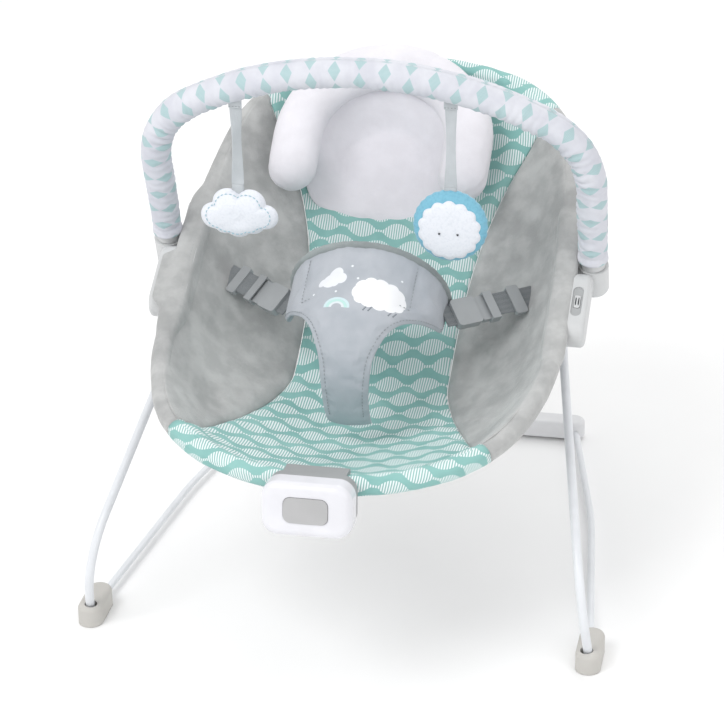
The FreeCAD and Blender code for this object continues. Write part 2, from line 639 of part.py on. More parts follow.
def vibration_unit():
    """Two case halves, clamp, cell, contacts, motor, weight, board, button and door."""
    cell_y = UNIT_BACK + UNIT_WALL + 0.8 + CELL_R
    cell_z = UNIT_BOTTOM + UNIT_WALL + 1.4 + CELL_R
    front = unit_block(0, UNIT_SEAM, UNIT_FRONT)
    front = soften(front, 8.0, lambda e: e.BoundBox.YMin > UNIT_FRONT - 0.01)
    inner_front = UNIT_FRONT - UNIT_WALL
    hollow = unit_block(UNIT_WALL, UNIT_SEAM - 1, inner_front)
    front = front.cut(soften(hollow, 6.5, lambda e: e.BoundBox.YMin > inner_front - 0.01))
    rear = unit_block(1.2, UNIT_BACK, UNIT_SEAM - 0.1)
    rear = rear.cut(unit_block(UNIT_WALL + 1.2, UNIT_BACK + UNIT_WALL, UNIT_SEAM + 1))

    button_low = (-BUTTON_WIDTH / 2, UNIT_FRONT - UNIT_WALL - 1.2, BUTTON_Z - BUTTON_HEIGHT / 2)
    button_high = (BUTTON_WIDTH / 2, UNIT_FRONT + 0.9, BUTTON_Z + BUTTON_HEIGHT / 2)
    button = rounded_block(button_low, button_high, 7.0, "y")
    hole = rounded_block((button_low[0] - 0.4, UNIT_FRONT - 6, button_low[2] - 0.4),
                         (button_high[0] + 0.4, UNIT_FRONT + 6, button_high[2] + 0.4), 7.4, "y")
    front = front.cut(hole)
    lip = rounded_block((button_low[0] - 2, UNIT_FRONT - UNIT_WALL - 1.4, button_low[2] - 2),
                        (button_high[0] + 2, UNIT_FRONT - UNIT_WALL - 0.4, button_high[2] + 2),
                        8.0, "y")
    button = button.fuse(lip)

    door_half_x = CELL_LENGTH / 2 + 6.5
    screw_x = -CELL_LENGTH / 2 - 3.3
    door_low = (-door_half_x, UNIT_BACK + 3.0, UNIT_BOTTOM)
    door_high = (door_half_x, UNIT_BACK + 27.0, UNIT_BOTTOM + UNIT_WALL)
    door = rounded_block(door_low, door_high, 3.0, "z").common(
        unit_block(0, UNIT_BACK, UNIT_FRONT))
    screw_y = UNIT_BACK + 15.0

    def screw_rod(radius, low, high):
        return cylinder(radius, V(screw_x, screw_y, UNIT_BOTTOM + low),
                        V(screw_x, screw_y, UNIT_BOTTOM + high))

    door_screw = screw_rod(1.4, 0.8, 4.5).fuse(screw_rod(2.4, 0.5, 1.7))
    door = door.cut(screw_rod(1.4 + FIT_GAP, -1, 6).fuse(screw_rod(2.4 + FIT_GAP, -1, 1.8)))
    doorway = rounded_block((door_low[0] - 0.4, door_low[1] - 0.4, UNIT_BOTTOM - 2),
                            (door_high[0] + 0.4, door_high[1] + 0.4, UNIT_BOTTOM + 4), 3.4, "z")
    front = front.cut(doorway)
    rear = rear.cut(doorway)

    cell = cylinder(CELL_R, V(-CELL_LENGTH / 2, cell_y, cell_z),
                    V(CELL_LENGTH / 2 - 2, cell_y, cell_z)).fuse(
        cylinder(3.5, V(CELL_LENGTH / 2 - 2, cell_y, cell_z), V(CELL_LENGTH / 2, cell_y, cell_z)))
    contact = block((CELL_LENGTH / 2 + 0.3, cell_y - 5, cell_z - 7),
                    (CELL_LENGTH / 2 + 0.9, cell_y + 5, cell_z + 9))
    contacts = [on_side(contact, sign) for _, sign in SIDES]

    motor_y = UNIT_BACK + 15.0
    motor_z = UNIT_TOP - UNIT_WALL - 11.5
    motor = rounded_block((-8, motor_y - 9, motor_z - 7.5), (17, motor_y + 9, motor_z + 7.5),
                          5, "x")
    shaft = cylinder(1.0, V(-20, motor_y, motor_z), V(-7, motor_y, motor_z))
    motor = motor.fuse(shaft)
    weight = cylinder(7.5, V(-17, motor_y, motor_z), V(-11, motor_y, motor_z))
    weight = weight.cut(block((-18, motor_y - 8, motor_z + 2.5), (-10, motor_y + 8, motor_z + 9)))
    weight = weight.cut(cylinder(1.0 + FIT_GAP / 2, V(-18, motor_y, motor_z),
                                 V(-10, motor_y, motor_z)))
    board = block((-15, UNIT_FRONT - UNIT_WALL - 7.6, BUTTON_Z + 2),
                  (15, UNIT_FRONT - UNIT_WALL - 6.2, BUTTON_Z + 22))
    switch = block((-3, UNIT_FRONT - UNIT_WALL - 6.2, BUTTON_Z + 4),
                   (3, UNIT_FRONT - UNIT_WALL - 3.6, BUTTON_Z + 10))

    clamp = rounded_block((-30, -HEM_R - 4, -HEM_R - 4), (30, UNIT_BACK - 0.1, HEM_R + 4),
                          4.0, "x")
    screws = []
    for x in (-25.0, 25.0):
        for z in (-UNIT_DROP - 8.0, UNIT_TOP - 8.0):
            head = cylinder(2.6, V(x, UNIT_BACK - 1.6, z), V(x, UNIT_BACK + 0.6, z))
            shank = cylinder(1.3, V(x, UNIT_BACK + 0.4, z), V(x, UNIT_BACK + UNIT_WALL, z))
            screws.append(head.fuse(shank))
            room = cylinder(2.7, V(x, UNIT_BACK - 16, z), V(x, UNIT_BACK + 0.7, z)).fuse(
                cylinder(1.4, V(x, UNIT_BACK - 1, z), V(x, UNIT_BACK + UNIT_WALL + 1, z)))
            rear = rear.cut(room)
            clamp = clamp.cut(room)
    pieces = {"vib_front_case": front, "vib_rear_case": rear, "power_button": button,
              "battery_door": door, "battery_door_screw": door_screw, "battery_cell": cell,
              "battery_contacts": Part.makeCompound(contacts), "vib_motor": motor,
              "eccentric_weight": weight, "switch_board": board.fuse(switch),
              "vib_clamp": clamp, "vib_screws": Part.makeCompound(screws)}
    pieces = {name: unit_frame(shape) for name, shape in pieces.items()}
    hem_room = rod(drawn_path_from(FRONT, FRONT_HEM_START, front_point), HEM_R + FIT_GAP)
    pieces["vib_clamp"] = pieces["vib_clamp"].cut(hem_room)
    return pieces


# ---------------------------------------------------------------- toy bar and toys
def toy_bar():
    corner_turn = 90 - TOY_TOP_TURN / 2
    bends = [(TOY_CORNER_R, corner_turn), (TOY_TOP_R, TOY_TOP_TURN), (TOY_CORNER_R, corner_turn)]

    def path(start):
        ends = (TOY_STRAIGHT - start, 0)
        return drawn_path(TOY_END_X, start, [ends] + bends + [ends], toy_bar_point)

    collar = 9.0
    tube = rod(path(collar), TOY_TUBE_R).cut(rod(path(collar), TOY_TUBE_R - 1.5))
    sleeve = rod(path(collar + 0.2), TOY_SLEEVE_R).cut(rod(path(collar + 0.2),
                                                          TOY_TUBE_R + FIT_GAP))
    x = TOY_END_X
    stem = cylinder(PLUG_R, toy_bar_point(x, -PLUG_DEPTH), toy_bar_point(x, 1))
    head = cylinder(PLUG_HEAD_R, toy_bar_point(x, 0.2), toy_bar_point(x, collar - 0.1))
    spigot = cylinder(TOY_TUBE_R - 1.5 - FIT_GAP, toy_bar_point(x, 5), toy_bar_point(x, 28))
    return tube, sleeve, stem.fuse(head).fuse(spigot)


def toy_bar_centre(x):
    """Centre of the toy bar's top arc at x, and the direction of the bar there."""
    top_height = (TOY_STRAIGHT + TOY_CORNER_R * math.cos(math.radians(TOY_TOP_TURN / 2))
                  + TOY_TOP_R * (1 - math.cos(math.radians(TOY_TOP_TURN / 2))))
    drop = TOY_TOP_R - math.sqrt(TOY_TOP_R ** 2 - x ** 2)
    slope = math.asin(x / TOY_TOP_R)
    along = toy_bar_point(math.cos(slope), -math.sin(slope)) - toy_bar_point(0, 0)
    return toy_bar_point(x, top_height - drop), along


def toy_hang_point(x):
    """Underside of the ribbon's loop at x."""
    return toy_bar_centre(x)[0] - V(0, 0, TOY_SLEEVE_R + 3.0)


def ribbon(x):
    """Woven ribbon with a loop round the toy bar's sleeve."""
    centre, along = toy_bar_centre(x)
    top = toy_hang_point(x)
    half = RIBBON_WIDTH / 2
    strip = block((top.x - half, top.y - 0.6, top.z - RIBBON_LENGTH),
                  (top.x + half, top.y + 0.6, centre.z))
    start, end = centre - along * half, centre + along * half
    loop = cylinder(TOY_SLEEVE_R + 1.8, start, end)
    return loop.fuse(strip).cut(cylinder(TOY_SLEEVE_R + 0.6, start - along * 9, end + along * 9))


def cloud_toy():
    """Soft cloud: overlapping round lobes, thickest in the middle."""
    hang = toy_hang_point(CLOUD_X)
    top_z = hang.z - RIBBON_LENGTH - TOY_GAP
    lobes = ((-24, -32, 17), (-10, -22, 21), (11, -21, 20), (26, -33, 16), (0, -38, 20))
    shape = None
    for x, z, r in lobes:
        lobe = Part.makeSphere(r)
        flat = FreeCAD.Matrix()
        flat.scale(1, 0.62, 1)
        lobe = lobe.transformGeometry(flat)
        lobe.translate(V(hang.x + x, hang.y, top_z + z))
        shape = lobe if shape is None else shape.fuse(lobe)
    return shape


def round_toy():
    """Soft round toy: a thick disc with a crowned front and back."""
    hang = toy_hang_point(ROUND_TOY_X)
    radius = 39.0
    squash = FreeCAD.Matrix()
    squash.scale(1, 0.38, 1)
    disc = Part.makeSphere(radius).transformGeometry(squash)
    disc.translate(V(hang.x, hang.y, hang.z - RIBBON_LENGTH - TOY_GAP - radius))
    return disc


# ---------------------------------------------------------------- build everything
def build():
    nodes = {}
    base_path = base_wire_path()
    nodes["base_wire"] = rod(base_path, WIRE_R)
    wire_room = rod(base_path, WIRE_R + FIT_GAP)
    upper, lower, pads, bar_screws = rear_bar()
    nodes["rear_bar_upper"] = upper
    nodes["rear_bar_lower"] = lower
    nodes["rear_bar_pads"] = pads
    nodes["rear_bar_screws"] = bar_screws

    for half in ("back", "front"):
        path = seat_tube_path(half)
        nodes["seat_tube_" + half] = rod(path, TUBE_R).cut(rod(path, TUBE_BORE_R))
        nodes["seat_hem_" + half] = hem(half)

    centre, side = seat_cover()
    nodes["seat_cover_center"] = centre
    cover = (centre, side, on_side(side, -1))
    nodes["head_pillow"] = head_pillow(cover)
    nodes["restraint_panel"] = restraint_panel(cover)

    inner, outer, hub_screws = hub_pieces()
    sided = {"foot": boot(wire_room), "leg": rod(leg_path(), LEG_R), "hub_inner": inner,
             "hub_outer": outer, "seat_cover_side": side, "leg_button": snap_button()}
    sided.update(waist_strap_pieces(cover))
    nodes["toy_bar_tube"], nodes["toy_bar_sleeve"], sided["toy_bar_plug"] = toy_bar()
    for name, shape in sided.items():
        for side_name, sign in SIDES:
            nodes[name + "_" + side_name] = on_side(shape, sign)
    nodes["hub_screws"] = Part.makeCompound(
        [on_side(screw, sign) for _, sign in SIDES for screw in hub_screws.Solids])

    nodes.update(vibration_unit())
    nodes["ribbon_left"] = ribbon(CLOUD_X)
    nodes["ribbon_right"] = ribbon(ROUND_TOY_X)
    nodes["cloud_toy"] = cloud_toy()
    nodes["round_toy"] = round_toy()
    return nodes


os.makedirs("parts", exist_ok=True)
for name, shape in build().items():
    shape.exportStep(os.path.join("parts", name + ".step"))
    box = shape.BoundBox
    print(name, len(shape.Solids), shape.isValid(), round(shape.Volume / 1000, 2),
          [round(v, 1) for v in (box.XMin, box.YMin, box.ZMin, box.XMax, box.YMax, box.ZMax)])
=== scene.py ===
import json
from math import asin, atan2, copysign, cos, exp, hypot, pi, radians, sin, sqrt

import bpy
import numpy as np
from mathutils import Matrix, Vector, noise


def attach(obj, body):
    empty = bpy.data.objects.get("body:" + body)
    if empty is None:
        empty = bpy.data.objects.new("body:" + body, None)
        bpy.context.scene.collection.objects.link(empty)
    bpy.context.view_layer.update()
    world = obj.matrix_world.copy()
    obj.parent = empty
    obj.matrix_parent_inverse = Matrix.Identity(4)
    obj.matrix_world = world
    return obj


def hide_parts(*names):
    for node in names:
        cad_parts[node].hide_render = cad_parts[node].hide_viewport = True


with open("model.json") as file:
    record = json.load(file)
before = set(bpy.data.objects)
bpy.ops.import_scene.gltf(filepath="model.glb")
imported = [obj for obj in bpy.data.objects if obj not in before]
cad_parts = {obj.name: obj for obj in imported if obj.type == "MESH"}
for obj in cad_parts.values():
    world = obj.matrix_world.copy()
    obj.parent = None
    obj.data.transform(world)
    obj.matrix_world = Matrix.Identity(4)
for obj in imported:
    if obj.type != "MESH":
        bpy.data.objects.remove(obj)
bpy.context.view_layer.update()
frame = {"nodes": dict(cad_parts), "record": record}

# Baby bouncer seat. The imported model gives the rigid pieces; this script adds the soft goods
# (cover, hems, pillow, restraint, straps, toy bar sleeve, ribbons, toys) and every material.
# Metres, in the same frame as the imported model. +X is the right of someone facing the seat.

MM = 0.001
SIDES = (("right", 1), ("left", -1))

CAMERA_PLACE, CAMERA_AIM = (0.48588, -2.43570, 1.41146), (-0.0018, -0.0327, 0.2356)
CAMERA_LENS, CAMERA_ROLL = 134.63, -0.6687
FLOOR_HALF_SIZE, FLOOR_GAP = 14.0, 0.0004

# ---------------------------------------------------------------- dimensions, in millimetres
KNEE_Y, KNEE_Z = -30.0, 277.6
BACK_SLOPE, FRONT_SLOPE = 28.7, 14.2
RING_HALF_WIDTH = 193.8
BACK_LENGTH, FRONT_LENGTH = 346.0, 241.0
HEM_R, HEM_BACK_START, HEM_FRONT_START = 10.0, 132.0, 10.0
SLING_DEPTH, SLING_END_DEPTH = 95.0, 12.0
HUB_R, SNAP_X, SNAP_S = 16.0, 210.5, 34.0
TOY_END = (219.4, 48.0, 324.0)
TOY_TILT, TOY_STRAIGHT, TOY_CORNER_R, TOY_TOP_R, TOY_TOP_TURN = 18.9, 103.0, 89.0, 346.0, 61.0
SLEEVE_R, SLEEVE_START = 14.0, 9.2
BELLY_R, BELLY_AXIS_N, BELLY_FRONT_S, BELLY_BACK_S = 79.0, -5.0, -30.0, 44.0
CLOUD_X, ROUND_TOY_X = -128.0, 86.0
RIBBON_LENGTH, RIBBON_WIDTH = 85.0, 14.0


def back_point(x, s, n=0.0):
    """x across, s up the back from the knee, n out of the seat; millimetres to metres."""
    a = radians(BACK_SLOPE)
    return Vector((x, KNEE_Y + s * cos(a) - n * sin(a),
                   KNEE_Z + s * sin(a) + n * cos(a))) * MM


def front_point(x, u, n=0.0):
    a = radians(FRONT_SLOPE)
    return Vector((x, KNEE_Y - u * cos(a) - n * sin(a),
                   KNEE_Z - u * sin(a) + n * cos(a))) * MM


def walk_arcs(x, u, arcs, step, least=1):
    """Points round a run of arcs (radius, start, stop) from (x, u), and the point they end at."""
    points = []
    for radius, start, stop in arcs:
        count = max(least, int(radius * (stop - start) / step))
        for i in range(count):
            t = start + (stop - start) * i / count
            points.append((x - radius * (cos(start) - cos(t)),
                           u + radius * (sin(t) - sin(start))))
        x -= radius * (cos(start) - cos(stop))
        u += radius * (sin(stop) - sin(start))
    return points, (x, u)


def mirrored(half, middle):
    """A half line, its middle point and its mirror image in x."""
    return half + [middle] + [(-x, u) for x, u in reversed(half)]


class Outline:
    """Half of the seat ring: a straight, a side arc, a corner arc and half the end arc."""

    def __init__(self, length, straight, side_turn, corner_r, end_turn):
        self.length, self.straight, self.corner_r = length, straight, corner_r
        self.a, self.b = radians(side_turn), radians(90 - end_turn)
        rise = length - straight - corner_r * (sin(self.b) - sin(self.a))
        across = RING_HALF_WIDTH - corner_r * (cos(self.a) - cos(self.b))
        m11, m12 = sin(self.a), 1 - sin(self.b)
        m21, m22 = 1 - cos(self.a), cos(self.b)
        det = m11 * m22 - m12 * m21
        self.side_r = (rise * m22 - m12 * across) / det
        self.end_r = (m11 * across - rise * m21) / det

    def walk(self, step):
        """Points (x, u) round the ring from the right-hand knee to the left-hand one."""
        count = max(2, int(self.straight / step))
        half = [(RING_HALF_WIDTH, self.straight * i / count) for i in range(count)]
        arcs = ((self.side_r, 0.0, self.a), (self.corner_r, self.a, self.b),
                (self.end_r, self.b, pi / 2))
        half += walk_arcs(RING_HALF_WIDTH, self.straight, arcs, step, 3)[0]
        return mirrored(half, (0.0, self.length))

    def half_width(self, u):
        points = self.walk(4.0)
        half = points[:len(points) // 2 + 1]
        return float(np.interp(u, [p[1] for p in half], [p[0] for p in half]))


BACK = Outline(BACK_LENGTH, 60.0, 12.0, 120.0, 20.0)
FRONT = Outline(FRONT_LENGTH, 25.0, 20.0, 150.0, 25.0)
WIDTH_S = list(range(-int(FRONT_LENGTH), int(BACK_LENGTH) + 1, 3))
WIDTH_X = [BACK.half_width(s) if s >= 0 else FRONT.half_width(-s) for s in WIDTH_S]


def ring_half_width(s):
    return float(np.interp(s, WIDTH_S, WIDTH_X))


def sling_depth(s):
    reach = BACK_LENGTH if s > 0 else FRONT_LENGTH
    fall = cos(min(1.0, abs(s) / reach) * pi / 2)
    return SLING_END_DEPTH + (SLING_DEPTH - SLING_END_DEPTH) * fall


def sling_normal(s):
    ease = max(-1.0, min(1.0, s / 60.0))
    middle, half = (BACK_SLOPE + FRONT_SLOPE) / 2, (BACK_SLOPE - FRONT_SLOPE) / 2
    slope = radians(middle + half * sin(ease * pi / 2))
    return Vector((0, -sin(slope), cos(slope)))


def sling_height(x, s):
    depth, half = sling_depth(s), ring_half_width(s)
    radius = (half ** 2 + depth ** 2) / (2 * depth)
    return radius - depth - sqrt(radius ** 2 - min(abs(x), half) ** 2)


def sling_point(x, s, lift=0.0):
    """A point of the sling's upper face at x and s, raised by lift."""
    middle = back_point(x, s) if s >= 0 else front_point(x, -s)
    return middle + sling_normal(s) * (sling_height(x, s) + lift) * MM


def centre_half_width(s):
    """The centre panel is narrow at the waist and fans out to both ends."""
    fan = 66.0 * (s / 275.0) ** 2.9 if s > 0 else 0.40 * (hypot(s, 12.0) - 12.0)
    return min(80.0 + fan, ring_half_width(s) - 3.0)


def toy_bar_point(x, h, depth=0.0):
    a = radians(TOY_TILT)
    return Vector((x, TOY_END[1] - h * sin(a) - depth * cos(a),
                   TOY_END[2] + h * cos(a) - depth * sin(a))) * MM


def toy_bar_line(step):
    """(x, h) of the points of the toy bar's centre line, from the right end to the left."""
    half_top = radians(TOY_TOP_TURN / 2)
    corner = pi / 2 - half_top
    count = int((TOY_STRAIGHT - SLEEVE_START) / step) + 1
    points = [(TOY_END[0], SLEEVE_START + i * step) for i in range(count)]
    arcs = ((TOY_CORNER_R, 0.0, corner), (TOY_TOP_R, corner, pi / 2))
    bend, top = walk_arcs(TOY_END[0], TOY_STRAIGHT, arcs, step)
    return mirrored(points + bend, (0.0, top[1]))


def toy_bar_centre(x):
    cosine = cos(radians(TOY_TOP_TURN / 2))
    top = TOY_STRAIGHT + TOY_CORNER_R * cosine + TOY_TOP_R * (1 - cosine)
    drop = TOY_TOP_R - sqrt(TOY_TOP_R ** 2 - x ** 2)
    slope = asin(x / TOY_TOP_R)
    along = (toy_bar_point(cos(slope), -sin(slope)) - toy_bar_point(0, 0)).normalized()
    return toy_bar_point(x, top - drop), along


def toy_hang_point(x):
    return toy_bar_centre(x)[0] - Vector((0, 0, (SLEEVE_R + 3.0) * MM))


# ---------------------------------------------------------------- mesh tools
def wobble(p, size, seed=0.0):
    """Smooth noise in -1..1 at a place in metres, with lumps of the given size in mm."""
    return noise.noise(Vector(p) * (1000.0 / size) + Vector((seed, seed * 1.7, -seed)))


def full_turn(count):
    return [2 * pi * k / count for k in range(count)]


def make_object(name, verts, faces, uvs=None, smooth=True):
    mesh = bpy.data.meshes.new(name)
    mesh.from_pydata([tuple(v) for v in verts], [], faces)
    if uvs is not None:
        layer = mesh.uv_layers.new(name="flat")
        for loop in mesh.loops:
            layer.data[loop.index].uv = uvs[loop.vertex_index]
    mesh.polygons.foreach_set("use_smooth", [smooth] * len(mesh.polygons))
    mesh.update()
    obj = bpy.data.objects.new(name, mesh)
    bpy.context.scene.collection.objects.link(obj)
    return obj


def grid_faces(rows, cols, base=0, close_rows=False, close_cols=False, flip=False):
    faces = []
    for i in range(rows if close_rows else rows - 1):
        for j in range(cols if close_cols else cols - 1):
            a, b = base + i * cols + j, base + i * cols + (j + 1) % cols
            c, d = base + (i + 1) % rows * cols + (j + 1) % cols, base + (i + 1) % rows * cols + j
            faces.append((a, d, c, b) if flip else (a, b, c, d))
    return faces


def end_caps(rings, sides, base=0):
    last = base + (rings - 1) * sides
    return [tuple(base + k for k in range(sides - 1, -1, -1)),
            tuple(last + k for k in range(sides))]


def tip_faces(rings, count, base=0, flip=False):
    """Rings that close in one middle point, which comes right after them."""
    last, tip = base + (rings - 1) * count, base + rings * count
    fan = [(last + k, last + (k + 1) % count) for k in range(count)]
    return grid_faces(rings, count, base=base, close_cols=True, flip=flip) + [
        (b, a, tip) if flip else (a, b, tip) for a, b in fan]


def run_along(points):
    """How far each point is along a line of points, in metres."""
    run = [0.0]
    for a, b in zip(points, points[1:]):
        run.append(run[-1] + (b - a).length)
    return run


def tube(name, line, radius_at, sides=20, uv_at=None, up=Vector((0, 0, 1)), caps=True):
    """Round sweep along a line of points. radius_at(i, angle) gives the radius in metres."""
    verts, uvs = [], []
    last = len(line) - 1
    for i, p in enumerate(line):
        along = (line[min(last, i + 1)] - line[max(0, i - 1)]).normalized()
        side = along.cross(up).normalized()
        top = side.cross(along)
        for t in full_turn(sides):
            verts.append(p + (side * cos(t) + top * sin(t)) * radius_at(i, t))
            uvs.append(uv_at(i, t) if uv_at else (i * 0.01, t))
    faces = grid_faces(len(line), sides, close_cols=True)
    if caps:
        faces += end_caps(len(line), sides)
    return make_object(name, verts, faces, uvs)


def pad(name, rows, edge, swell, lined=False):
    """Closed pad from rows of cells: upper point, outward normal, flat place in mm, dip. It is
    edge mm thick at a seam (dip 0) and swell mm thicker in full cloth (dip 1). A lined pad's
    back takes its second material."""
    n_rows, n_cols = len(rows), len(rows[0])
    cells = [cell for row in rows for cell in row]
    verts = [cell[0] for cell in cells]
    verts += [p - normal * ((edge + swell * dip) * MM) for p, normal, _, dip in cells]
    uvs = [cell[2] for cell in cells] * 2
    half = n_rows * n_cols
    faces = grid_faces(n_rows, n_cols) + grid_faces(n_rows, n_cols, base=half, flip=True)
    ring = list(range(n_cols)) + [i * n_cols + n_cols - 1 for i in range(1, n_rows)]
    ring += [(n_rows - 1) * n_cols + j for j in range(n_cols - 2, -1, -1)]
    ring += [i * n_cols for i in range(n_rows - 2, 0, -1)]
    for a, b in zip(ring, ring[1:] + ring[:1]):
        faces.append((b, a, a + half, b + half))
    obj = make_object(name, verts, faces, uvs)
    if lined:
        front = (n_rows - 1) * (n_cols - 1)
        for polygon in obj.data.polygons[front:2 * front]:
            polygon.material_index = 1
    return obj


def modify(obj, kind, **values):
    m = obj.modifiers.new(kind.lower(), kind)
    for key, value in values.items():
        setattr(m, key, value)
    return m


def thicken(obj, thickness, offset=0.0):
    modify(obj, "SOLIDIFY", thickness=thickness * MM, offset=offset)


def bake_modifiers(obj):
    """Applies every modifier, so that the mesh itself has the final shape."""
    bpy.context.view_layer.update()
    graph = bpy.context.evaluated_depsgraph_get()
    mesh = bpy.data.meshes.new_from_object(obj.evaluated_get(graph), depsgraph=graph)
    obj.modifiers.clear()
    obj.data = mesh
    mesh.polygons.foreach_set("use_smooth", [True] * len(mesh.polygons))


def subdivide(obj, levels=1):
    modify(obj, "SUBSURF", levels=levels, render_levels=levels)
    bake_modifiers(obj)


def coordinates(mesh):
    co = np.empty(len(mesh.vertices) * 3, np.float32)
    mesh.vertices.foreach_get("co", co)
    return co.reshape(-1, 3).astype(float)


def inflate(obj, pinned, pressure=4.0, cap=6.0, grow=0.0, stiffness=12.0, bending=0.15,
            frames=18):
    """Stuffs a closed fabric shape with Blender's cloth. pinned(vertex) is from 0 to 1,
    cap is the furthest that a point may move in mm, grow is the share of spare cloth."""
    group = obj.vertex_groups.new(name="pinned")
    for v in obj.data.vertices:
        weight = pinned(v)
        if weight > 0:
            group.add([v.index], weight, "REPLACE")
    before = coordinates(obj.data)
    cloth = obj.modifiers.new("cloth", "CLOTH")
    s = cloth.settings
    s.quality = 5
    s.mass = 0.2
    s.tension_stiffness = stiffness
    s.compression_stiffness = stiffness
    s.shear_stiffness = stiffness / 2
    s.bending_stiffness = bending
    s.use_pressure = True
    s.uniform_pressure_force = pressure
    s.vertex_group_mass = "pinned"
    s.shrink_min = -grow
    s.effector_weights.gravity = 0
    cloth.collision_settings.use_collision = False
    scene = bpy.context.scene
    scene.frame_start, scene.frame_end = 1, frames
    cloth.point_cache.frame_start, cloth.point_cache.frame_end = 1, frames
    for f in range(1, frames + 1):
        scene.frame_set(f)
    graph = bpy.context.evaluated_depsgraph_get()
    after = coordinates(obj.evaluated_get(graph).to_mesh())
    obj.modifiers.remove(cloth)
    move = after - before
    length = np.linalg.norm(move, axis=1, keepdims=True)
    limit = cap * MM
    eased = limit * np.tanh(length / limit)
    move *= eased / np.maximum(length, 1e-9)
    obj.data.vertices.foreach_set("co", (before + move).astype(np.float32).ravel())
    obj.data.update()
    scene.frame_set(1)


def stitches(name, line, length, gap, radius, normals):
    """A row of thread stitches along a line, as one mesh of small rounded bars; sizes in mm."""
    length, gap, radius = length * MM, gap * MM, radius * MM
    points = [Vector(p) for p in line]
    runs = run_along(points)
    total = runs[-1]
    count = max(1, int(total / (length + gap)))
    pitch = total / count
    coords = np.array([tuple(p) for p in points])
    outs = np.array([tuple(n) for n in normals])

    def at(values, d):
        return Vector([float(np.interp(d, runs, values[:, k])) for k in range(3)])

    verts, faces = [], []
    sides, rings = 6, 5
    for c in range(count):
        start = c * pitch
        out = at(outs, start).normalized()
        base = len(verts)
        for r in range(rings):
            t = r / (rings - 1)
            centre = at(coords, start + length * t) + out * radius * (1.1 * sin(pi * t) - 0.2)
            ahead = (at(coords, min(total, start + length)) - at(coords, start)).normalized()
            side = ahead.cross(out).normalized()
            width = radius * (0.45 + 0.55 * sin(pi * t))
            for a in full_turn(sides):
                verts.append(centre + (side * cos(a) + out * sin(a)) * width)
        faces += grid_faces(rings, sides, base=base, close_cols=True)
        faces += end_caps(rings, sides, base)
    return make_object(name, verts, faces)


# ---------------------------------------------------------------- node tools
MATERIALS = {}


class Nodes:
    """A new material, kept in MATERIALS, with short calls for the nodes of its tree."""

    def __init__(self, name, rough, metal=0.0, sheen=0.0, coat=0.0, specular=0.5):
        mat = bpy.data.materials.new(name)
        mat.use_nodes = True
        MATERIALS[name] = mat
        self.tree = mat.node_tree
        self.shader = self.tree.nodes["Principled BSDF"]
        self.join_all(self.shader, {
            "Roughness": rough, "Metallic": metal, "Specular IOR Level": specular,
            "Sheen Weight": sheen, "Sheen Roughness": 0.4, "Coat Weight": coat,
            "Coat Roughness": 0.12})

    def join_all(self, node, inputs):
        """Feeds each input, by name or number, from a socket or a plain value."""
        for key, source in inputs.items():
            if hasattr(source, "links"):
                self.tree.links.new(source, node.inputs[key])
            else:
                node.inputs[key].default_value = source

    def add(self, kind, inputs, **values):
        node = self.tree.nodes.new("ShaderNode" + kind)
        for key, value in values.items():
            setattr(node, key, value)
        self.join_all(node, inputs)
        return node

    def math(self, operation, a, b=0.0, c=0.0):
        return self.add("Math", {0: a, 1: b, 2: c}, operation=operation).outputs[0]

    def noise(self, scale, detail=3.0):
        return self.add("TexNoise", {"Scale": scale, "Detail": detail, "Roughness": 0.55,
                                     "Vector": self.place()}).outputs["Fac"]

    def place(self):
        return self.add("TexCoord", {}).outputs["Object"]

    def flat(self):
        """The cloth's own flat coordinates in millimetres: across, along."""
        place = self.add("UVMap", {}, uv_map="flat").outputs["UV"]
        return self.add("SeparateXYZ", {0: place}).outputs[:2]

    def ramp(self, value, low, high):
        inputs = {"Value": value, "From Min": low, "From Max": high}
        return self.add("MapRange", inputs, interpolation_type="SMOOTHSTEP").outputs["Result"]

    def mix(self, amount, a, b):
        a, b = ((*tone, 1.0) if isinstance(tone, tuple) else tone for tone in (a, b))
        inputs = {"Factor": amount, "A": a, "B": b}
        return self.add("Mix", inputs, data_type="RGBA").outputs["Result"]

    def blotches(self, scale, detail, dark, light, low=0.3, high=0.7):
        """Two tones in soft patches."""
        return self.mix(self.ramp(self.noise(scale, detail), low, high), dark, light)

    def colour(self, value):
        self.join_all(self.shader, {"Base Color": value})

    def bump(self, height, depth_mm, under=None):
        inputs = {"Strength": 1.0, "Distance": depth_mm * MM, "Height": height}
        if under is not None:
            inputs["Normal"] = under
        normal = self.add("Bump", inputs).outputs["Normal"]
        self.join_all(self.shader, {"Normal": normal})
        return normal

    def relief(self, scale, detail, depth_mm, fine, fine_mm):
        """Broad unevenness with a fine relief on it."""
        self.bump(fine, fine_mm, self.bump(self.noise(scale, detail), depth_mm))


def weave_height(n, pitch):
    """Plain weave from two crossed waves in object space, for cloth of any shape."""
    k = 2 * pi / (pitch * MM)
    axes = n.add("SeparateXYZ", {0: n.place()}).outputs
    waves = [n.math("SINE", n.math("MULTIPLY", axis, k)) for axis in axes]
    return n.math("MULTIPLY", waves[0], n.math("ADD", waves[1], waves[2]))


def flat_weave_height(n, pitch):
    across, along = n.flat()
    k = 2 * pi / pitch
    return n.math("MULTIPLY", n.math("SINE", n.math("MULTIPLY", across, k)),
                  n.math("SINE", n.math("MULTIPLY", along, k)))


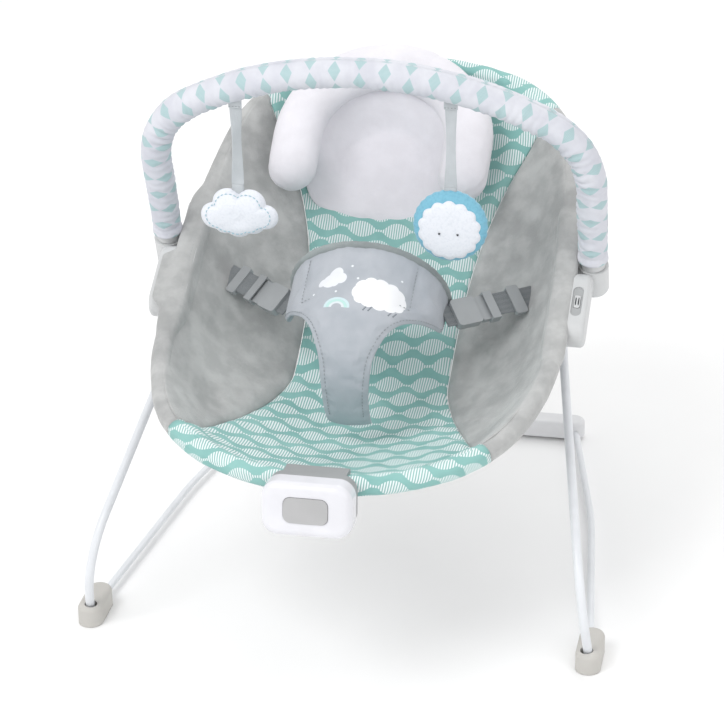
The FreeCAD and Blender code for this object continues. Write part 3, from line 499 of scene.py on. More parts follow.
def plush_material(name, colour, dark, sheen=0.45):
    n = Nodes(name, 0.95, sheen=sheen, specular=0.15)
    patches = n.ramp(n.noise(13.0, 5.0), 0.38, 0.62)
    strokes = n.ramp(n.noise(48.0, 4.0), 0.36, 0.66)
    tone = n.math("MULTIPLY_ADD", strokes, 0.45, n.math("MULTIPLY", patches, 0.55))
    fine = n.noise(1400.0, 2.0)
    # the colour is random tone plus the fine relief, darker in its hollows: painted shade
    n.colour(n.mix(n.math("MULTIPLY_ADD", fine, 0.25, n.math("MULTIPLY", tone, 0.8)), dark, colour))
    n.relief(120.0, 3.0, 0.6, fine, 0.35)


TEAL, TEAL_DARK, PRINT_WHITE = (0.30, 0.55, 0.52), (0.24, 0.475, 0.45), (0.80, 0.855, 0.86)


def print_material():
    """Printed cotton: staggered leaf shapes of fine white lines on teal, linked by dotted rows."""
    period, row, leaf_half, leaf_height, line_pitch = 38.0, 19.0, 16.5, 8.8, 2.6
    n = Nodes("teal_print", 0.85, sheen=0.15, specular=0.2)
    across, along = n.flat()

    def leaves(shift_x, shift_row):
        u = n.math("PINGPONG", n.math("ADD", across, shift_x), period / 2)
        v = n.math("ADD", along, shift_row + row * 100)
        v = n.math("ABSOLUTE", n.math("SUBTRACT", n.math("MODULO", v, row * 2), row))
        share = n.math("DIVIDE", u, leaf_half)
        height = n.math("SUBTRACT", 1.0, n.math("MULTIPLY", share, share))
        height = n.math("MAXIMUM", n.math("MULTIPLY", height, leaf_height), 1.3)
        return n.ramp(n.math("SUBTRACT", height, v), -0.25, 0.25)

    lens = n.math("MAXIMUM", leaves(0.0, 0.0), leaves(period / 2, row))
    lines = n.math("PINGPONG", across, line_pitch / 2)
    lines = n.ramp(lines, line_pitch * 0.14, line_pitch * 0.3)
    white = n.math("MULTIPLY", lens, lines)
    shade = n.blotches(26.0, 3.0, TEAL_DARK, TEAL)
    n.colour(n.mix(white, shade, PRINT_WHITE))
    n.relief(60.0, 3.0, 0.5, flat_weave_height(n, 0.9), 0.08)


def sleeve_material():
    """White cotton sleeve with staggered, finely hatched pale teal diamonds."""
    n = Nodes("sleeve_print", 0.85, sheen=0.2, specular=0.2)
    across, along = n.flat()

    def diamonds(shift_a, shift_b):
        u = n.math("DIVIDE", n.math("PINGPONG", n.math("ADD", across, shift_a), 24.0), 6.2)
        v = n.math("DIVIDE", n.math("PINGPONG", n.math("ADD", along, shift_b), 11.0), 10.2)
        return n.ramp(n.math("SUBTRACT", 1.0, n.math("ADD", u, v)), -0.04, 0.06)

    shape = n.math("MAXIMUM", diamonds(0.0, 0.0), diamonds(24.0, 11.0))
    lines = n.ramp(n.math("PINGPONG", along, 0.55), 0.12, 0.3)
    amount = n.math("MULTIPLY", shape, n.math("MULTIPLY_ADD", lines, 0.45, 0.5))
    cloth = n.blotches(30.0, 3.0, (0.60, 0.61, 0.67), (0.69, 0.70, 0.75))
    n.colour(n.mix(amount, cloth, (0.36, 0.54, 0.55)))
    n.relief(90.0, 3.0, 0.5, flat_weave_height(n, 0.9), 0.07)


def cloth_material(name, colour, dark, pitch=0.9, depth=0.1, sheen=0.2):
    n = Nodes(name, 0.88, sheen=sheen, specular=0.2)
    n.colour(n.blotches(22.0, 4.0, dark, colour))
    n.relief(70.0, 3.0, 0.5, weave_height(n, pitch), depth)


def fleece_material(name, colour, dark):
    n = Nodes(name, 0.98, sheen=0.5, specular=0.1)
    curls = n.noise(420.0, 3.0)
    # darker where the curl relief sinks: painted shade in the hollows between curls
    n.colour(n.mix(n.ramp(curls, 0.1, 0.6), dark, colour))
    n.relief(120.0, 2.0, 0.4, curls, 0.28)


def plastic_material(name, colour, rough=0.42, coat=0.0, grain=0.03):
    n = Nodes(name, rough, coat=coat, specular=0.45)
    dark = tuple(c * 0.93 for c in colour)
    n.colour(n.blotches(18.0, 3.0, dark, colour, 0.35, 0.65))
    uneven = n.math("MULTIPLY_ADD", n.noise(60.0, 2.0), 0.12, rough - 0.06)
    n.join_all(n.shader, {"Roughness": uneven})
    n.bump(n.noise(2600.0, 2.0), grain)


def metal_material(name, colour, rough=0.35, metal=1.0):
    n = Nodes(name, rough, metal=metal)
    dark = tuple(c * 0.95 for c in colour)
    n.colour(n.blotches(40.0, 4.0, dark, colour))
    n.bump(n.noise(900.0, 3.0), 0.04)


def webbing_material():
    """Woven nylon tape: chevron ribs across the tape, with painted shade in the grooves and a painted
    highlight on the crests.
    """
    n = Nodes("webbing_grey", 0.8, sheen=0.2, specular=0.25)
    across, along = n.flat()
    skew = n.math("PINGPONG", across, 3.0)
    ribs = n.math("SINE", n.math("MULTIPLY", n.math("ADD", along, skew), 2 * pi / 1.3))
    # the colour follows the rib height: painted shade in the grooves, painted highlight on the crests
    n.colour(n.mix(n.ramp(ribs, -0.6, 0.8), (0.17, 0.185, 0.195), (0.30, 0.32, 0.335)))
    n.bump(ribs, 0.22)


def panel_print_material():
    """Pale blue-grey cotton with a printed cloud, a rainbow, a fluffy cloud and dots."""
    n = Nodes("panel_cotton", 0.88, sheen=0.15, specular=0.2)
    across, along = n.flat()

    def disc(x, y, r, soft=0.25):
        dx, dy = n.math("SUBTRACT", across, x), n.math("SUBTRACT", along, y)
        d = n.math("SQRT", n.math("ADD", n.math("MULTIPLY", dx, dx), n.math("MULTIPLY", dy, dy)))
        return n.ramp(n.math("SUBTRACT", r, d), -soft, soft)

    def union(shapes):
        result = shapes[0]
        for shape in shapes[1:]:
            result = n.math("MAXIMUM", result, shape)
        return result

    base = n.blotches(20.0, 4.0, (0.40, 0.43, 0.47), (0.48, 0.505, 0.545))
    cloud = union([disc(-35, 48, 5), disc(-27, 47, 8), disc(-15, 45, 6), disc(-21, 39, 7.5),
                   disc(-22, 48, 6)])
    puffs = [disc(27 + 21 * cos(a), 60 + 11 * sin(a), 8.0)
             for a in [k * pi / 6 for k in range(12)]]
    fluffy = union(puffs + [disc(27, 60, 12), disc(16, 60, 10), disc(38, 60, 10)])
    legs = union([disc(x + 0.9 * k, y - 1.6 * k, 0.9) for k in range(4)
                  for x, y in ((13, 81.5), (18, 81.5), (38, 81.5), (43, 81.0))])
    above = n.ramp(n.math("SUBTRACT", 80.0, along), -0.2, 0.2)
    colours = ((13, 10.4, (0.60, 0.74, 0.77)), (10.4, 7.6, (0.50, 0.735, 0.70)),
               (7.6, 5.0, (0.70, 0.76, 0.79)))
    colour = base
    for outer, inner, tint in colours:
        ring = n.math("SUBTRACT", disc(-14, 80, outer), disc(-14, 80, inner))
        colour = n.mix(n.math("MULTIPLY", ring, above), colour, tint)
    dots = union([disc(x, y, 1.2) for x, y in ((-43, 60), (-18, 60), (2, 45), (-6, 30), (46, 34))])
    colour = n.mix(cloud, colour, (0.78, 0.80, 0.84))
    colour = n.mix(legs, colour, (0.20, 0.22, 0.25))
    colour = n.mix(fluffy, colour, (0.88, 0.89, 0.91))
    colour = n.mix(dots, colour, (0.80, 0.83, 0.86))
    n.colour(colour)
    n.relief(70.0, 3.0, 0.5, flat_weave_height(n, 0.8), 0.07)


metal_material("wire_white", (0.74, 0.76, 0.79), 0.3, 0.0)
plastic_material("foot_rubber", (0.56, 0.545, 0.515), 0.62, grain=0.08)
plastic_material("bar_plastic", (0.74, 0.745, 0.76), 0.45)
plastic_material("hub_plastic", (0.60, 0.61, 0.615), 0.45)
# painted shade: a darker grey for the floor of the recess round each leg button
plastic_material("painted_recess_shade", (0.40, 0.41, 0.415), 0.6)
# near-black: the real colour of the round toy's eyes, and painted shade in the leg buttons' slots
plastic_material("eye_colour_and_slot_shade", (0.05, 0.055, 0.06), 0.7)
metal_material("screw_steel", (0.55, 0.55, 0.57), 0.3)
metal_material("tube_steel", (0.6, 0.61, 0.62), 0.35, 0.6)
plush_material("plush_grey", (0.53, 0.535, 0.53), (0.315, 0.32, 0.32))
plush_material("pillow_velour", (0.81, 0.795, 0.84), (0.73, 0.715, 0.755))
panel_print_material()
webbing_material()
plastic_material("buckle_plastic", (0.33, 0.345, 0.355), 0.4)
plastic_material("unit_white", (0.76, 0.76, 0.80), 0.24, coat=0.3, grain=0.01)
plastic_material("unit_grey", (0.32, 0.33, 0.335), 0.45)
plastic_material("button_grey", (0.45, 0.45, 0.455), 0.5)
plastic_material("cell_wrap", (0.05, 0.06, 0.07), 0.3)
metal_material("contact_metal", (0.70, 0.68, 0.62))
metal_material("motor_can", (0.6, 0.6, 0.62))
plastic_material("board_green", (0.02, 0.12, 0.05), 0.35)
sleeve_material()
cloth_material("ribbon_grey", (0.58, 0.61, 0.635), (0.47, 0.50, 0.525), 1.0)
fleece_material("toy_white", (0.75, 0.77, 0.82), (0.65, 0.68, 0.74))
fleece_material("toy_blue", (0.21, 0.47, 0.60), (0.15, 0.37, 0.50))
cloth_material("binding_grey", (0.36, 0.40, 0.405), (0.27, 0.30, 0.305), 1.1, 0.15)
cloth_material("thread_teal", (0.40, 0.60, 0.67), (0.33, 0.53, 0.60), 0.6, 0.05)
cloth_material("thread_grey", (0.33, 0.36, 0.375), (0.26, 0.28, 0.3), 0.6, 0.05)
cloth_material("under_cloth", (0.40, 0.415, 0.42), (0.31, 0.32, 0.33), 1.2, 0.12)
print_material()
MATERIALS["print_teal"] = MATERIALS["teal_print"]


def finish_piece(obj, body, slot, nodes=(), look=None):
    """Body, slot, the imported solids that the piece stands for, and its look: names of
    materials, the slot's own unless said."""
    for name in look or [slot]:
        obj.data.materials.append(MATERIALS[name])
    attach(obj, body)
    if nodes:
        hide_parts(*nodes)


# ---------------------------------------------------------------- seat cover
def spread(half, j, count):
    """The place of column j of count, spread evenly from -half to half."""
    return -half + 2 * half * j / (count - 1)


def smooth_step(t):
    t = max(0.0, min(1.0, t))
    return t * t * (3 - 2 * t)


def edge_dip(distance, width):
    """0 at a seam, 1 from width inwards, on a round shoulder."""
    t = max(0.0, min(1.0, distance / width))
    return sqrt(1 - (1 - t) ** 2)


def held_at_seams(rows, level):
    """For inflate: holds every point of a pad whose dip is below level, on both faces."""
    both = [cell[3] for row in rows for cell in row] * 2
    return lambda v: 1.0 if both[v.index] < level else 0.0


def cover_panel(name, s_low, s_high, x_low, x_high, step, pucker):
    """One quilted panel between two edges; pucker scales its creases."""
    seam_sink, swell, ring_roll, roll_width = 3.2, 4.6, 13.5, 46.0
    n_rows = int((s_high - s_low) / step) + 1
    widest = max(x_high(s) - x_low(s) for s in np.linspace(s_low, s_high, 12))
    n_cols = int(widest / step) + 1
    rows = []
    for i in range(n_rows):
        s = s_low + (s_high - s_low) * i / (n_rows - 1)
        left, right = x_low(s), x_high(s)
        row = []
        for j in range(n_cols):
            x = left + (right - left) * j / (n_cols - 1)
            to_ring = min(ring_half_width(s) - abs(x), s + FRONT_LENGTH, BACK_LENGTH - s)
            to_seam = abs(centre_half_width(s) - abs(x))
            if centre_half_width(s) > ring_half_width(s) - 4:
                to_seam = 16.0
            dip = edge_dip(to_seam, 12.0) * edge_dip(to_ring - 1.5, 5.0)
            crease = wobble((x * MM, s * MM * 0.45, 0), 34.0, 3.0) * 1.6 * pucker
            fold = wobble((x * MM * 0.5, (s + x * 0.8) * MM * 1.3, 0.3), 15.0, 11.0) * 2.6 * pucker
            roll = 1 - smooth_step((to_ring - 2) / roll_width)
            lift = swell * dip - seam_sink + (crease + fold) * dip * (1 - roll) + ring_roll * roll
            row.append((sling_point(x, s, lift), sling_normal(s), (x, s), dip))
        rows.append(row)
    obj = pad(name, rows, 2.5, 6.5, lined=True)
    inflate(obj, held_at_seams(rows, 0.35), pressure=1.6, cap=3.5, grow=0.02 * pucker)
    subdivide(obj)
    return obj


SEAM_LOW, SEAM_HIGH = -178.0, 286.0      # where the seams of the centre panel meet the ring


def build_cover():
    step = 6.0
    centre = cover_panel("cover_centre_pad", -FRONT_LENGTH + 4, BACK_LENGTH - 4,
                         lambda s: -centre_half_width(s), centre_half_width, step, 1.0)
    finish_piece(centre, "seat", "print_teal", ["seat_cover_center"], ["print_teal", "under_cloth"])
    for side, sign in SIDES:
        def inner(s, sign=sign):
            return centre_half_width(s) * sign

        def outer(s, sign=sign):
            return (ring_half_width(s) - 3.0) * sign

        low, high = (inner, outer) if sign > 0 else (outer, inner)
        piece = cover_panel("cover_side_pad_" + side, SEAM_LOW, SEAM_HIGH, low, high, step, 1.25)
        finish_piece(piece, "seat", "plush_grey", ["seat_cover_side_" + side],
                     ["plush_grey", "under_cloth"])


def hem_tube(name, outline, lift, start, material, node, keep):
    """Cloth channel sewn round the seat tube, over the stretch of ring that keep accepts."""
    points = [p for p in outline.walk(5.0) if p[1] >= start]
    line = [lift(x, u) for x, u in points]
    chosen = [i for i, p in enumerate(points) if keep(p)]
    pieces, run = [], []
    for i in chosen:
        if run and i != run[-1] + 1:
            pieces.append(run)
            run = []
        run.append(i)
    pieces.append(run)
    for k, run in enumerate(pieces):
        part = [line[i] for i in run]
        if len(part) < 3:
            continue

        def radius(i, t, part=part):
            p = part[i]
            crease = wobble((p.x, p.y, p.z + t * 0.004), 17.0, 9.0) * 0.5
            seam = -0.9 * exp(-((t - pi) / 0.22) ** 2)
            return (10.2 + crease + seam) * MM

        def flat(i, t, run=run):
            """The print carries on over the hem from the panel beside it."""
            a, b = points[max(0, run[i] - 1)], points[min(len(points) - 1, run[i] + 1)]
            dx, du = b[0] - a[0], b[1] - a[1]
            turn = pi / 2 - t if outline is BACK else t - pi / 2
            arc = HEM_R * ((turn + pi) % (2 * pi) - pi) / hypot(dx, du)
            x, u = points[run[i]]
            return x + du * arc, (u - dx * arc) * (1 if outline is BACK else -1)

        suffix = "" if len(pieces) == 1 else "_" + "ab"[k]
        obj = tube(name + suffix, part, radius, 24, flat)
        finish_piece(obj, "seat", material, [node])


def build_hems():
    ends = (("back", BACK, back_point, HEM_BACK_START, SEAM_HIGH),
            ("front", FRONT, front_point, HEM_FRONT_START, -SEAM_LOW))
    for end, outline, lift, start, seam in ends:
        parts = (("grey", "plush_grey", lambda p, seam=seam: p[1] <= seam + 4),
                 ("teal", "print_teal", lambda p, seam=seam: p[1] >= seam))
        for tint, material, keep in parts:
            hem_tube("hem_%s_%s" % (end, tint), outline, lift, start, material,
                     "seat_hem_" + end, keep)


def build_hub_flaps():
    """The side panel's edge, which laps over the top of each hub's inner block."""
    s_low, s_high, count = -46.0, 166.0, 72
    over_hub = ((-15.8, -17.0), (-13.4, -8.0), (-12.4, 0.0), (-12.0, 8.0), (-9.8, 13.6),
                (-5.6, 15.9), (-0.6, 16.5), (4.4, 16.4), (8.6, 15.9), (11.0, 13.6), (11.3, 9.0))
    angles = [radians(232 - 23.5 * j) for j in range(len(over_hub))]
    for side, sign in SIDES:
        rows, uvs = [], []
        for i in range(count):
            s = s_low + (s_high - s_low) * i / (count - 1)
            share = smooth_step(min((s + 40.0) / 30.0, (160.0 - s) / 28.0))
            over_cover = smooth_step((68.0 - s) / 14.0) * smooth_step((s + 14.0) / 14.0)
            hem_r = 9.4 + 1.6 * smooth_step(min(s - s_low, s_high - s) / 16.0)
            over_hem = [(hem_r * cos(a), hem_r * sin(a)) for a in angles]
            row, uv = [], []
            for j, (hub, hem) in enumerate(zip(over_hub, over_hem)):
                dx = hub[0] * share + hem[0] * (1 - share)
                n = hub[1] * share + hem[1] * (1 - share)
                if side == "left" and j > 6:
                    dx += 11.0 * over_cover * (j - 6) / 4
                    n += (17.2 - n) * over_cover
                if j in (5, 7):
                    n -= 0.9
                ripple = wobble((sign * 0.2, s * MM, j * 0.004), 24.0, 5.0) * 0.9 if j > 2 else 0.0
                x = ring_half_width(s) + dx
                middle = back_point(0, s) if s >= 0 else front_point(0, -s)
                row.append(middle + sling_normal(s) * (n + ripple) * MM + Vector((x * sign * MM, 0, 0)))
                uv.append((x, s))
            rows += row if sign < 0 else row[::-1]
            uvs += uv if sign < 0 else uv[::-1]
        obj = make_object("hub_flap_" + side, rows, grid_faces(count, len(over_hub)), uvs)
        thicken(obj, 1.2, -1.0)
        subdivide(obj, 2)
        finish_piece(obj, "seat", "plush_grey")
        out = sling_normal(60.0)
        for k, dx in enumerate((-5.6, 4.4)):
            line = [back_point((RING_HALF_WIDTH + dx) * sign, s, 15.3) for s in range(-2, 132, 4)]
            thread = stitches("hub_flap_stitch_%s_%d" % (side, k), line, 2.6, 1.4,
                              0.45, [out] * len(line))
            finish_piece(thread, "seat", "plush_grey", look=["thread_grey"])


def build_recess_and_slot_shade():
    """Painted shade: a darker grey sheet on the floor of the recess round each leg button, and
    near-black bars for the shade in the button's two slots.
    """
    across, along = Vector((1, 0, 0)), (back_point(0, 1) - back_point(0, 0)).normalized()
    out = (back_point(0, 0, 1) - back_point(0, 0)).normalized()
    for side, sign in SIDES:
        middle = back_point(SNAP_X * sign, SNAP_S, HUB_R - 1.36)
        outer, inner = [], []
        for a in full_turn(48):
            shift = 12.6 if sin(a) > 0 else -12.6
            edge = across * cos(a) * 5.1 + along * (sin(a) * 5.1 + shift)
            outer.append(middle + edge * MM)
            wide, tall = 3.75 * abs(cos(a)) ** 0.4, 8.3 * abs(sin(a)) ** 0.4
            inner.append(middle + (across * copysign(wide, cos(a))
                                   + along * copysign(tall, sin(a))) * MM)
        verts = outer + inner + [p + out * 0.25 * MM for p in inner + outer]
        faces = grid_faces(4, 48, close_rows=True, close_cols=True, flip=True)
        # a thin darker grey sheet on the recess floor: painted shade
        recess_shade_plate = make_object("hub_recess_shade_" + side, verts, faces, smooth=False)
        finish_piece(recess_shade_plate, "seat", "hub_plastic", look=["painted_recess_shade"])
        # near-black bars along the button: painted shade in its two slots
        for k, x in enumerate((-1.4, 1.4)):
            centre = back_point((SNAP_X + x) * sign, SNAP_S, HUB_R - 0.5)
            line = [centre + along * d * MM for d in (-4.5, -2.2, 0.0, 2.2, 4.5)]
            slot = tube("leg_button_slot_%s_%d" % (side, k), line,
                        lambda i, t: (0.62 if 0 < i < 4 else 0.4) * MM, 10, up=out)
            finish_piece(slot, "leg_button_" + side, "hub_plastic", look=["eye_colour_and_slot_shade"])


# ---------------------------------------------------------------- head pillow
PILLOW_X, PILLOW_S, PILLOW_LEG = -18.0, 231.0, 37.0


def build_pillow():
    ring_r, fat = 88.0, 26.0
    lean = radians(9)

    def lift(x, u, up=0.0):
        return back_point(x + PILLOW_X, PILLOW_S + u * cos(lean), 9 + u * sin(lean) + up)

    spots = [0.0, 0.8, 2.5, 5.0, 8.5, 13.0, 18.5, fat]
    leg = [(ring_r, -PILLOW_LEG - fat + d) for d in spots]
    leg += [(ring_r, -PILLOW_LEG + d) for d in range(6, int(PILLOW_LEG), 6)]
    arch = [(ring_r * cos(pi * i / 40), ring_r * sin(pi * i / 40))
            for i in range(41)]
    line = leg + arch + [(-x, u) for x, u in reversed(leg)]
    points = [lift(x, u) for x, u in line]
    normal = (lift(0, 0, 1) - lift(0, 0)).normalized()

    def radius(i, t):
        ends = min(i, len(points) - 1 - i)
        reach = spots[ends] if ends < len(spots) else fat
        round_end = sqrt(max(0.0, fat ** 2 - (fat - reach) ** 2))
        return max(0.6, round_end) * (1.0 - 0.10 * abs(sin(t))) * MM

    bolster = tube("pillow_bolster", points, radius, 28, up=normal)
    modify(bolster, "REMESH", mode="VOXEL", voxel_size=0.0055)
    bake_modifiers(bolster)
    inflate(bolster, lambda v: 0.0, pressure=3.0, cap=3.5, grow=0.05, stiffness=9.0)
    origin, across = lift(0, 0), Vector((1, 0, 0))
    along = (lift(0, 1) - lift(0, 0)).normalized()
    subdivide(bolster)
    for v in bolster.data.vertices:
        d = v.co - origin
        x, u, h = d.dot(across) / MM, d.dot(along) / MM, d.dot(normal) / MM
        angle = atan2(max(u, 0.0), x)
        outward = across * x + along * max(u, 0.0)
        pleat = 0.0
        if u > 4 and h > -6:
            for at, depth in ((0.62, 1.6), (1.12, 2.4), (1.72, 2.6), (2.5, 1.6)):
                off = (angle - at) + 0.0035 * sin(h * 0.4)
                pleat -= depth * exp(-(off / 0.028) ** 2)
        seam = -1.5 * exp(-((h + 2) / 1.8) ** 2) if hypot(x, max(u, 0)) > ring_r else 0.0
        if outward.length > 0:
            v.co += outward.normalized() * seam * MM
        v.co += normal * (pleat * 0.5 + wobble(v.co, 45.0, 2.0) * 1.4) * MM
    finish_piece(bolster, "seat", "pillow_velour", ["head_pillow"])

    rows = []
    count, foot, head = 30, -52.0, 72.0
    for i in range(count):
        u = foot + (head - foot) * i / (count - 1)
        if u > 0:
            half = sqrt(82.0 ** 2 - u ** 2)
        else:
            half = 46.0 + 38.0 * sqrt(max(0.0, 1 - (max(0.0, -u - 20.0) / 32.0) ** 2))
        row = []
        for j in range(count):
            x = spread(half, j, count)
            dip = edge_dip(min(half - abs(x), u - foot, head - u), 24.0)
            s = PILLOW_S + u * cos(lean)
            swell = 2.6 + 6.0 * dip + wobble((x * MM, u * MM, 0), 38.0, 7.0) * 1.2 * dip
            on_cover = sling_point(x + PILLOW_X, s, swell)
            rise = smooth_step((hypot(x, max(u, 0.0)) - 42.0) / 34.0) * smooth_step((u + 40) / 40)
            row.append((on_cover.lerp(lift(x, u, -10.0), rise), sling_normal(s), (x, u), dip))
        rows.append(row)
    inner = pad("pillow_inner_pad", rows, 1.5, 5.0)
    subdivide(inner)
    finish_piece(inner, "seat", "pillow_velour")


# ---------------------------------------------------------------- waist restraint
# (mm along the middle line, half width as an angle round the belly in degrees)
PANEL_STATIONS = ((0.0, 96.0), (40.0, 96.0), (52.0, 88.0), (66.0, 56.0), (84.0, 40.0),
                  (100.0, 30.0), (132.0, 20.0), (170.0, 17.5), (235.0, 16.5))
DOME_START = BELLY_BACK_S - BELLY_FRONT_S


def panel_point(along, w, lift=0.0):
    """Along the middle line from the top edge in mm, w across in mm; outer face plus lift."""
    radius = BELLY_R + lift
    side = w / BELLY_R
    flat = along - DOME_START
    if flat <= 0:
        return back_point(radius * sin(side), BELLY_BACK_S - along,
                          BELLY_AXIS_N + radius * cos(side))
    turn = flat / BELLY_R
    straight = max(0.0, turn - radians(112))
    turn = min(turn, radians(112))
    x = radius * sin(side)
    n = BELLY_AXIS_N + radius * cos(side) * cos(turn)
    s = BELLY_FRONT_S - radius * cos(side) * sin(turn)
    drop = straight * BELLY_R
    n -= drop * sin(turn)
    s -= drop * cos(turn)
    return back_point(x, s, n)


def panel_half(along):
    return radians(np.interp(along, *zip(*PANEL_STATIONS))) * BELLY_R


def smooth_half(along):
    return sum(panel_half(max(0.0, along + d)) for d in (-10, -5, 0, 5, 10)) / 5


SIDE_SEAM = 63.0        # a short seam that runs in from the foot of each wing seam


def build_restraint():
    length, count, cols = 224.0, 64, 49
    rows = []
    for i in range(count):
        along = length * i / (count - 1)
        half = smooth_half(along)
        row = []
        for j in range(cols):
            w = spread(half, j, cols)
            dip = edge_dip(min(half - abs(w), along + 2.0, length - along), 9.0)
            seam = exp(-((abs(w) - 60.0) / 2.2) ** 2) if along < 64 else 0.0
            if 46.0 < abs(w) < 62.0:
                seam = max(seam, exp(-((along - SIDE_SEAM) / 2.2) ** 2))
            pucker = wobble((w * MM, along * MM, 0), 24.0, 4.0) * 0.9
            gather = 0.7 * sin(w * 0.62 + 3 * pucker) * exp(-along / 12.0)
            lift = -1.6 + 1.8 * dip - 1.3 * seam + (pucker + gather) * dip
            p = panel_point(along, w, lift)
            out = (panel_point(along, w, lift + 1.0) - p).normalized()
            row.append((p, out, (w, along), dip))
        rows.append(row)
    obj = pad("restraint_pad", rows, 1.6, 3.2)
    inflate(obj, held_at_seams(rows, 0.5), pressure=1.0, cap=2.0, grow=0.015)
    subdivide(obj)
    finish_piece(obj, "seat", "panel_cotton", ["restraint_panel"])

    half = smooth_half(0.0)
    steps = 72
    line = [panel_point(3.0, -half + 2 * half * i / steps, -1.4) for i in range(steps + 1)]
    binding = tube("restraint_binding", line,
                   lambda i, t: (3.9 + 0.25 * sin(i * 2.1)) * (1 + 0.32 * cos(t) ** 2) * MM,
                   14, up=back_point(0, 1) - back_point(0, 0))
    finish_piece(binding, "seat", "panel_cotton", look=["binding_grey"])
    for side, suffix in ((1, "right"), (-1, "left")):
        wing = [(a, 60.0) for a in range(10, 62, 3)]
        across = [(SIDE_SEAM, 60.0 - 3.0 * k) for k in range(6)]
        edge = [(a, smooth_half(a) - 6.5) for a in range(8, 206, 3)]
        for name, path, level in (("wing", wing, -0.6), ("side", across, -0.6), ("edge", edge, 0.2)):
            line = [panel_point(a, w * side, level) for a, w in path]
            out = [panel_point(a, w * side, 1) - panel_point(a, w * side, 0) for a, w in path]
            thread = stitches("restraint_%s_stitch_%s" % (name, suffix), line, 2.6, 1.4,
                              0.42, out)
            finish_piece(thread, "seat", "panel_cotton", look=["thread_grey"])


def strap_frame():
    start, end = back_point(85.5, 20, -4), back_point(152, 70, -36)
    x = (end - start).normalized()
    z = x.cross(back_point(0, 1) - back_point(0, 0)).normalized()
    return start, x, z.cross(x), z


def build_straps():
    start, x, y, z = strap_frame()
    for side, sign in SIDES:
        def place(a, b, c, sign=sign):
            p = start + (x * a + y * b + z * c) * MM
            return Vector((p.x * sign, p.y, p.z))

        pieces = (("strap_outer_", 43.0, 98.5, 12.3, 4.4), ("strap_tab_", -9.0, 8.0, 11.5, 0.0))
        for name, a_low, a_high, half, level in pieces:
            rows, cols = 36, 9
            verts, uvs = [], []
            for i in range(rows):
                a = a_low + (a_high - a_low) * i / (rows - 1)
                for j in range(cols):
                    b = spread(half, j, cols)
                    wave = 0.5 * sin(a * 0.13) * (1 if name == "strap_outer_" else 0)
                    verts.append(place(a, b, level + wave * edge_dip(min(a - a_low, a_high - a), 12)))
                    uvs.append((b, a))
            obj = make_object(name + side, verts, grid_faces(rows, cols, flip=sign < 0), uvs)
            thicken(obj, 1.5)
            modify(obj, "BEVEL", width=0.4 * MM, segments=2)
            bake_modifiers(obj)
            nodes = ["waist_strap_" + side] if name == "strap_outer_" else []
            finish_piece(obj, "seat", "webbing_grey", nodes)


# ---------------------------------------------------------------- toy bar
def build_sleeve():
    step = 1.5
    line = toy_bar_line(step)
    points = [toy_bar_point(x, h) for x, h in line]
    forward = toy_bar_point(0, 0, 1) - toy_bar_point(0, 0)
    run = [d / MM for d in run_along(points)]
    half_run = run[-1] / 2

    def radius(i, t):
        bend = exp(-((abs(run[i] - half_run) - 215.0) / 60.0) ** 2)
        inward = 0.5 + 0.5 * cos(t - pi)
        p = points[i]
        drift = wobble((run[i] * MM, t * 0.012, 0.0), 26.0, 1.0)
        fine = sin(run[i] * 0.72 + 5.0 * drift + 0.5 * sin(t)) * (0.6 + 0.8 * drift)
        broad = wobble((p.x, p.y, p.z + t * 0.004), 28.0, 6.0)
        gather = (0.2 + 1.15 * bend * inward + 0.6 * inward) * fine
        last = min(i, len(line) - 1 - i) * step
        cuff = -1.6 * exp(-((last - 9.0) / 2.0) ** 2) + 0.5 * exp(-(last / 4.0) ** 2)
        return (SLEEVE_R + 0.2 + gather + 0.7 * broad + cuff) * MM

    def uv(i, t):
        d = run[i] - half_run
        packed = d + 0.00025 * d * abs(d)
        return packed, t / (2 * pi) * 88.0

    obj = tube("toy_bar_cloth", points, radius, 40, uv, up=forward, caps=False)
    thicken(obj, 0.8, -1.0)
    bake_modifiers(obj)
    finish_piece(obj, "toy_bar", "sleeve_print", ["toy_bar_sleeve"])


def ribbon(side, x, body, twist):
    top = toy_hang_point(x)
    half = RIBBON_WIDTH / 2 - 0.6
    rows, cols = 44, 7
    verts, uvs = [], []
    for i in range(rows):
        t = i / (rows - 1)
        z = top.z - (RIBBON_LENGTH + 1.5) * MM * t + 2.0 * MM * (1 - t)
        turn = twist * sin(pi * t) * 0.9
        waist = 1.0 - 0.12 * sin(pi * t)
        for j in range(cols):
            w = spread(half, j, cols) * waist * MM
            bow = 1.2 * MM * sin(pi * t)
            verts.append(Vector((top.x + w * cos(turn), top.y + w * sin(turn) + bow, z)))
            uvs.append((w / MM, z / MM))
    faces = grid_faces(rows, cols)
    base, tab_rows = len(verts), 8
    for i in range(tab_rows):
        for j in range(cols):
            w = spread(half + 0.5, j, cols) * MM
            drop = 9.0 * MM * i / (tab_rows - 1)
            back = 1.1 * MM + 0.5 * MM * sin(pi * i / (tab_rows - 1))
            verts.append(Vector((top.x + w, top.y - back, top.z + 3.2 * MM - drop)))
            uvs.append((w / MM, drop / MM))
    faces += grid_faces(tab_rows, cols, base=base)
    obj = make_object("ribbon_cloth_" + side, verts, faces, uvs)
    thicken(obj, 0.9)
    subdivide(obj)
    finish_piece(obj, body, "ribbon_grey", ["ribbon_" + side])
    rows_at = [top + Vector((w * MM, -1.9 * MM, -3.6 * MM)) for w in np.linspace(-half, half, 9)]
    thread = stitches("ribbon_stitch_" + side, rows_at, 2.0, 1.0, 0.35,
                      [Vector((0, -1, 0))] * 9)
    finish_piece(thread, body, "ribbon_grey", look=["thread_grey"])


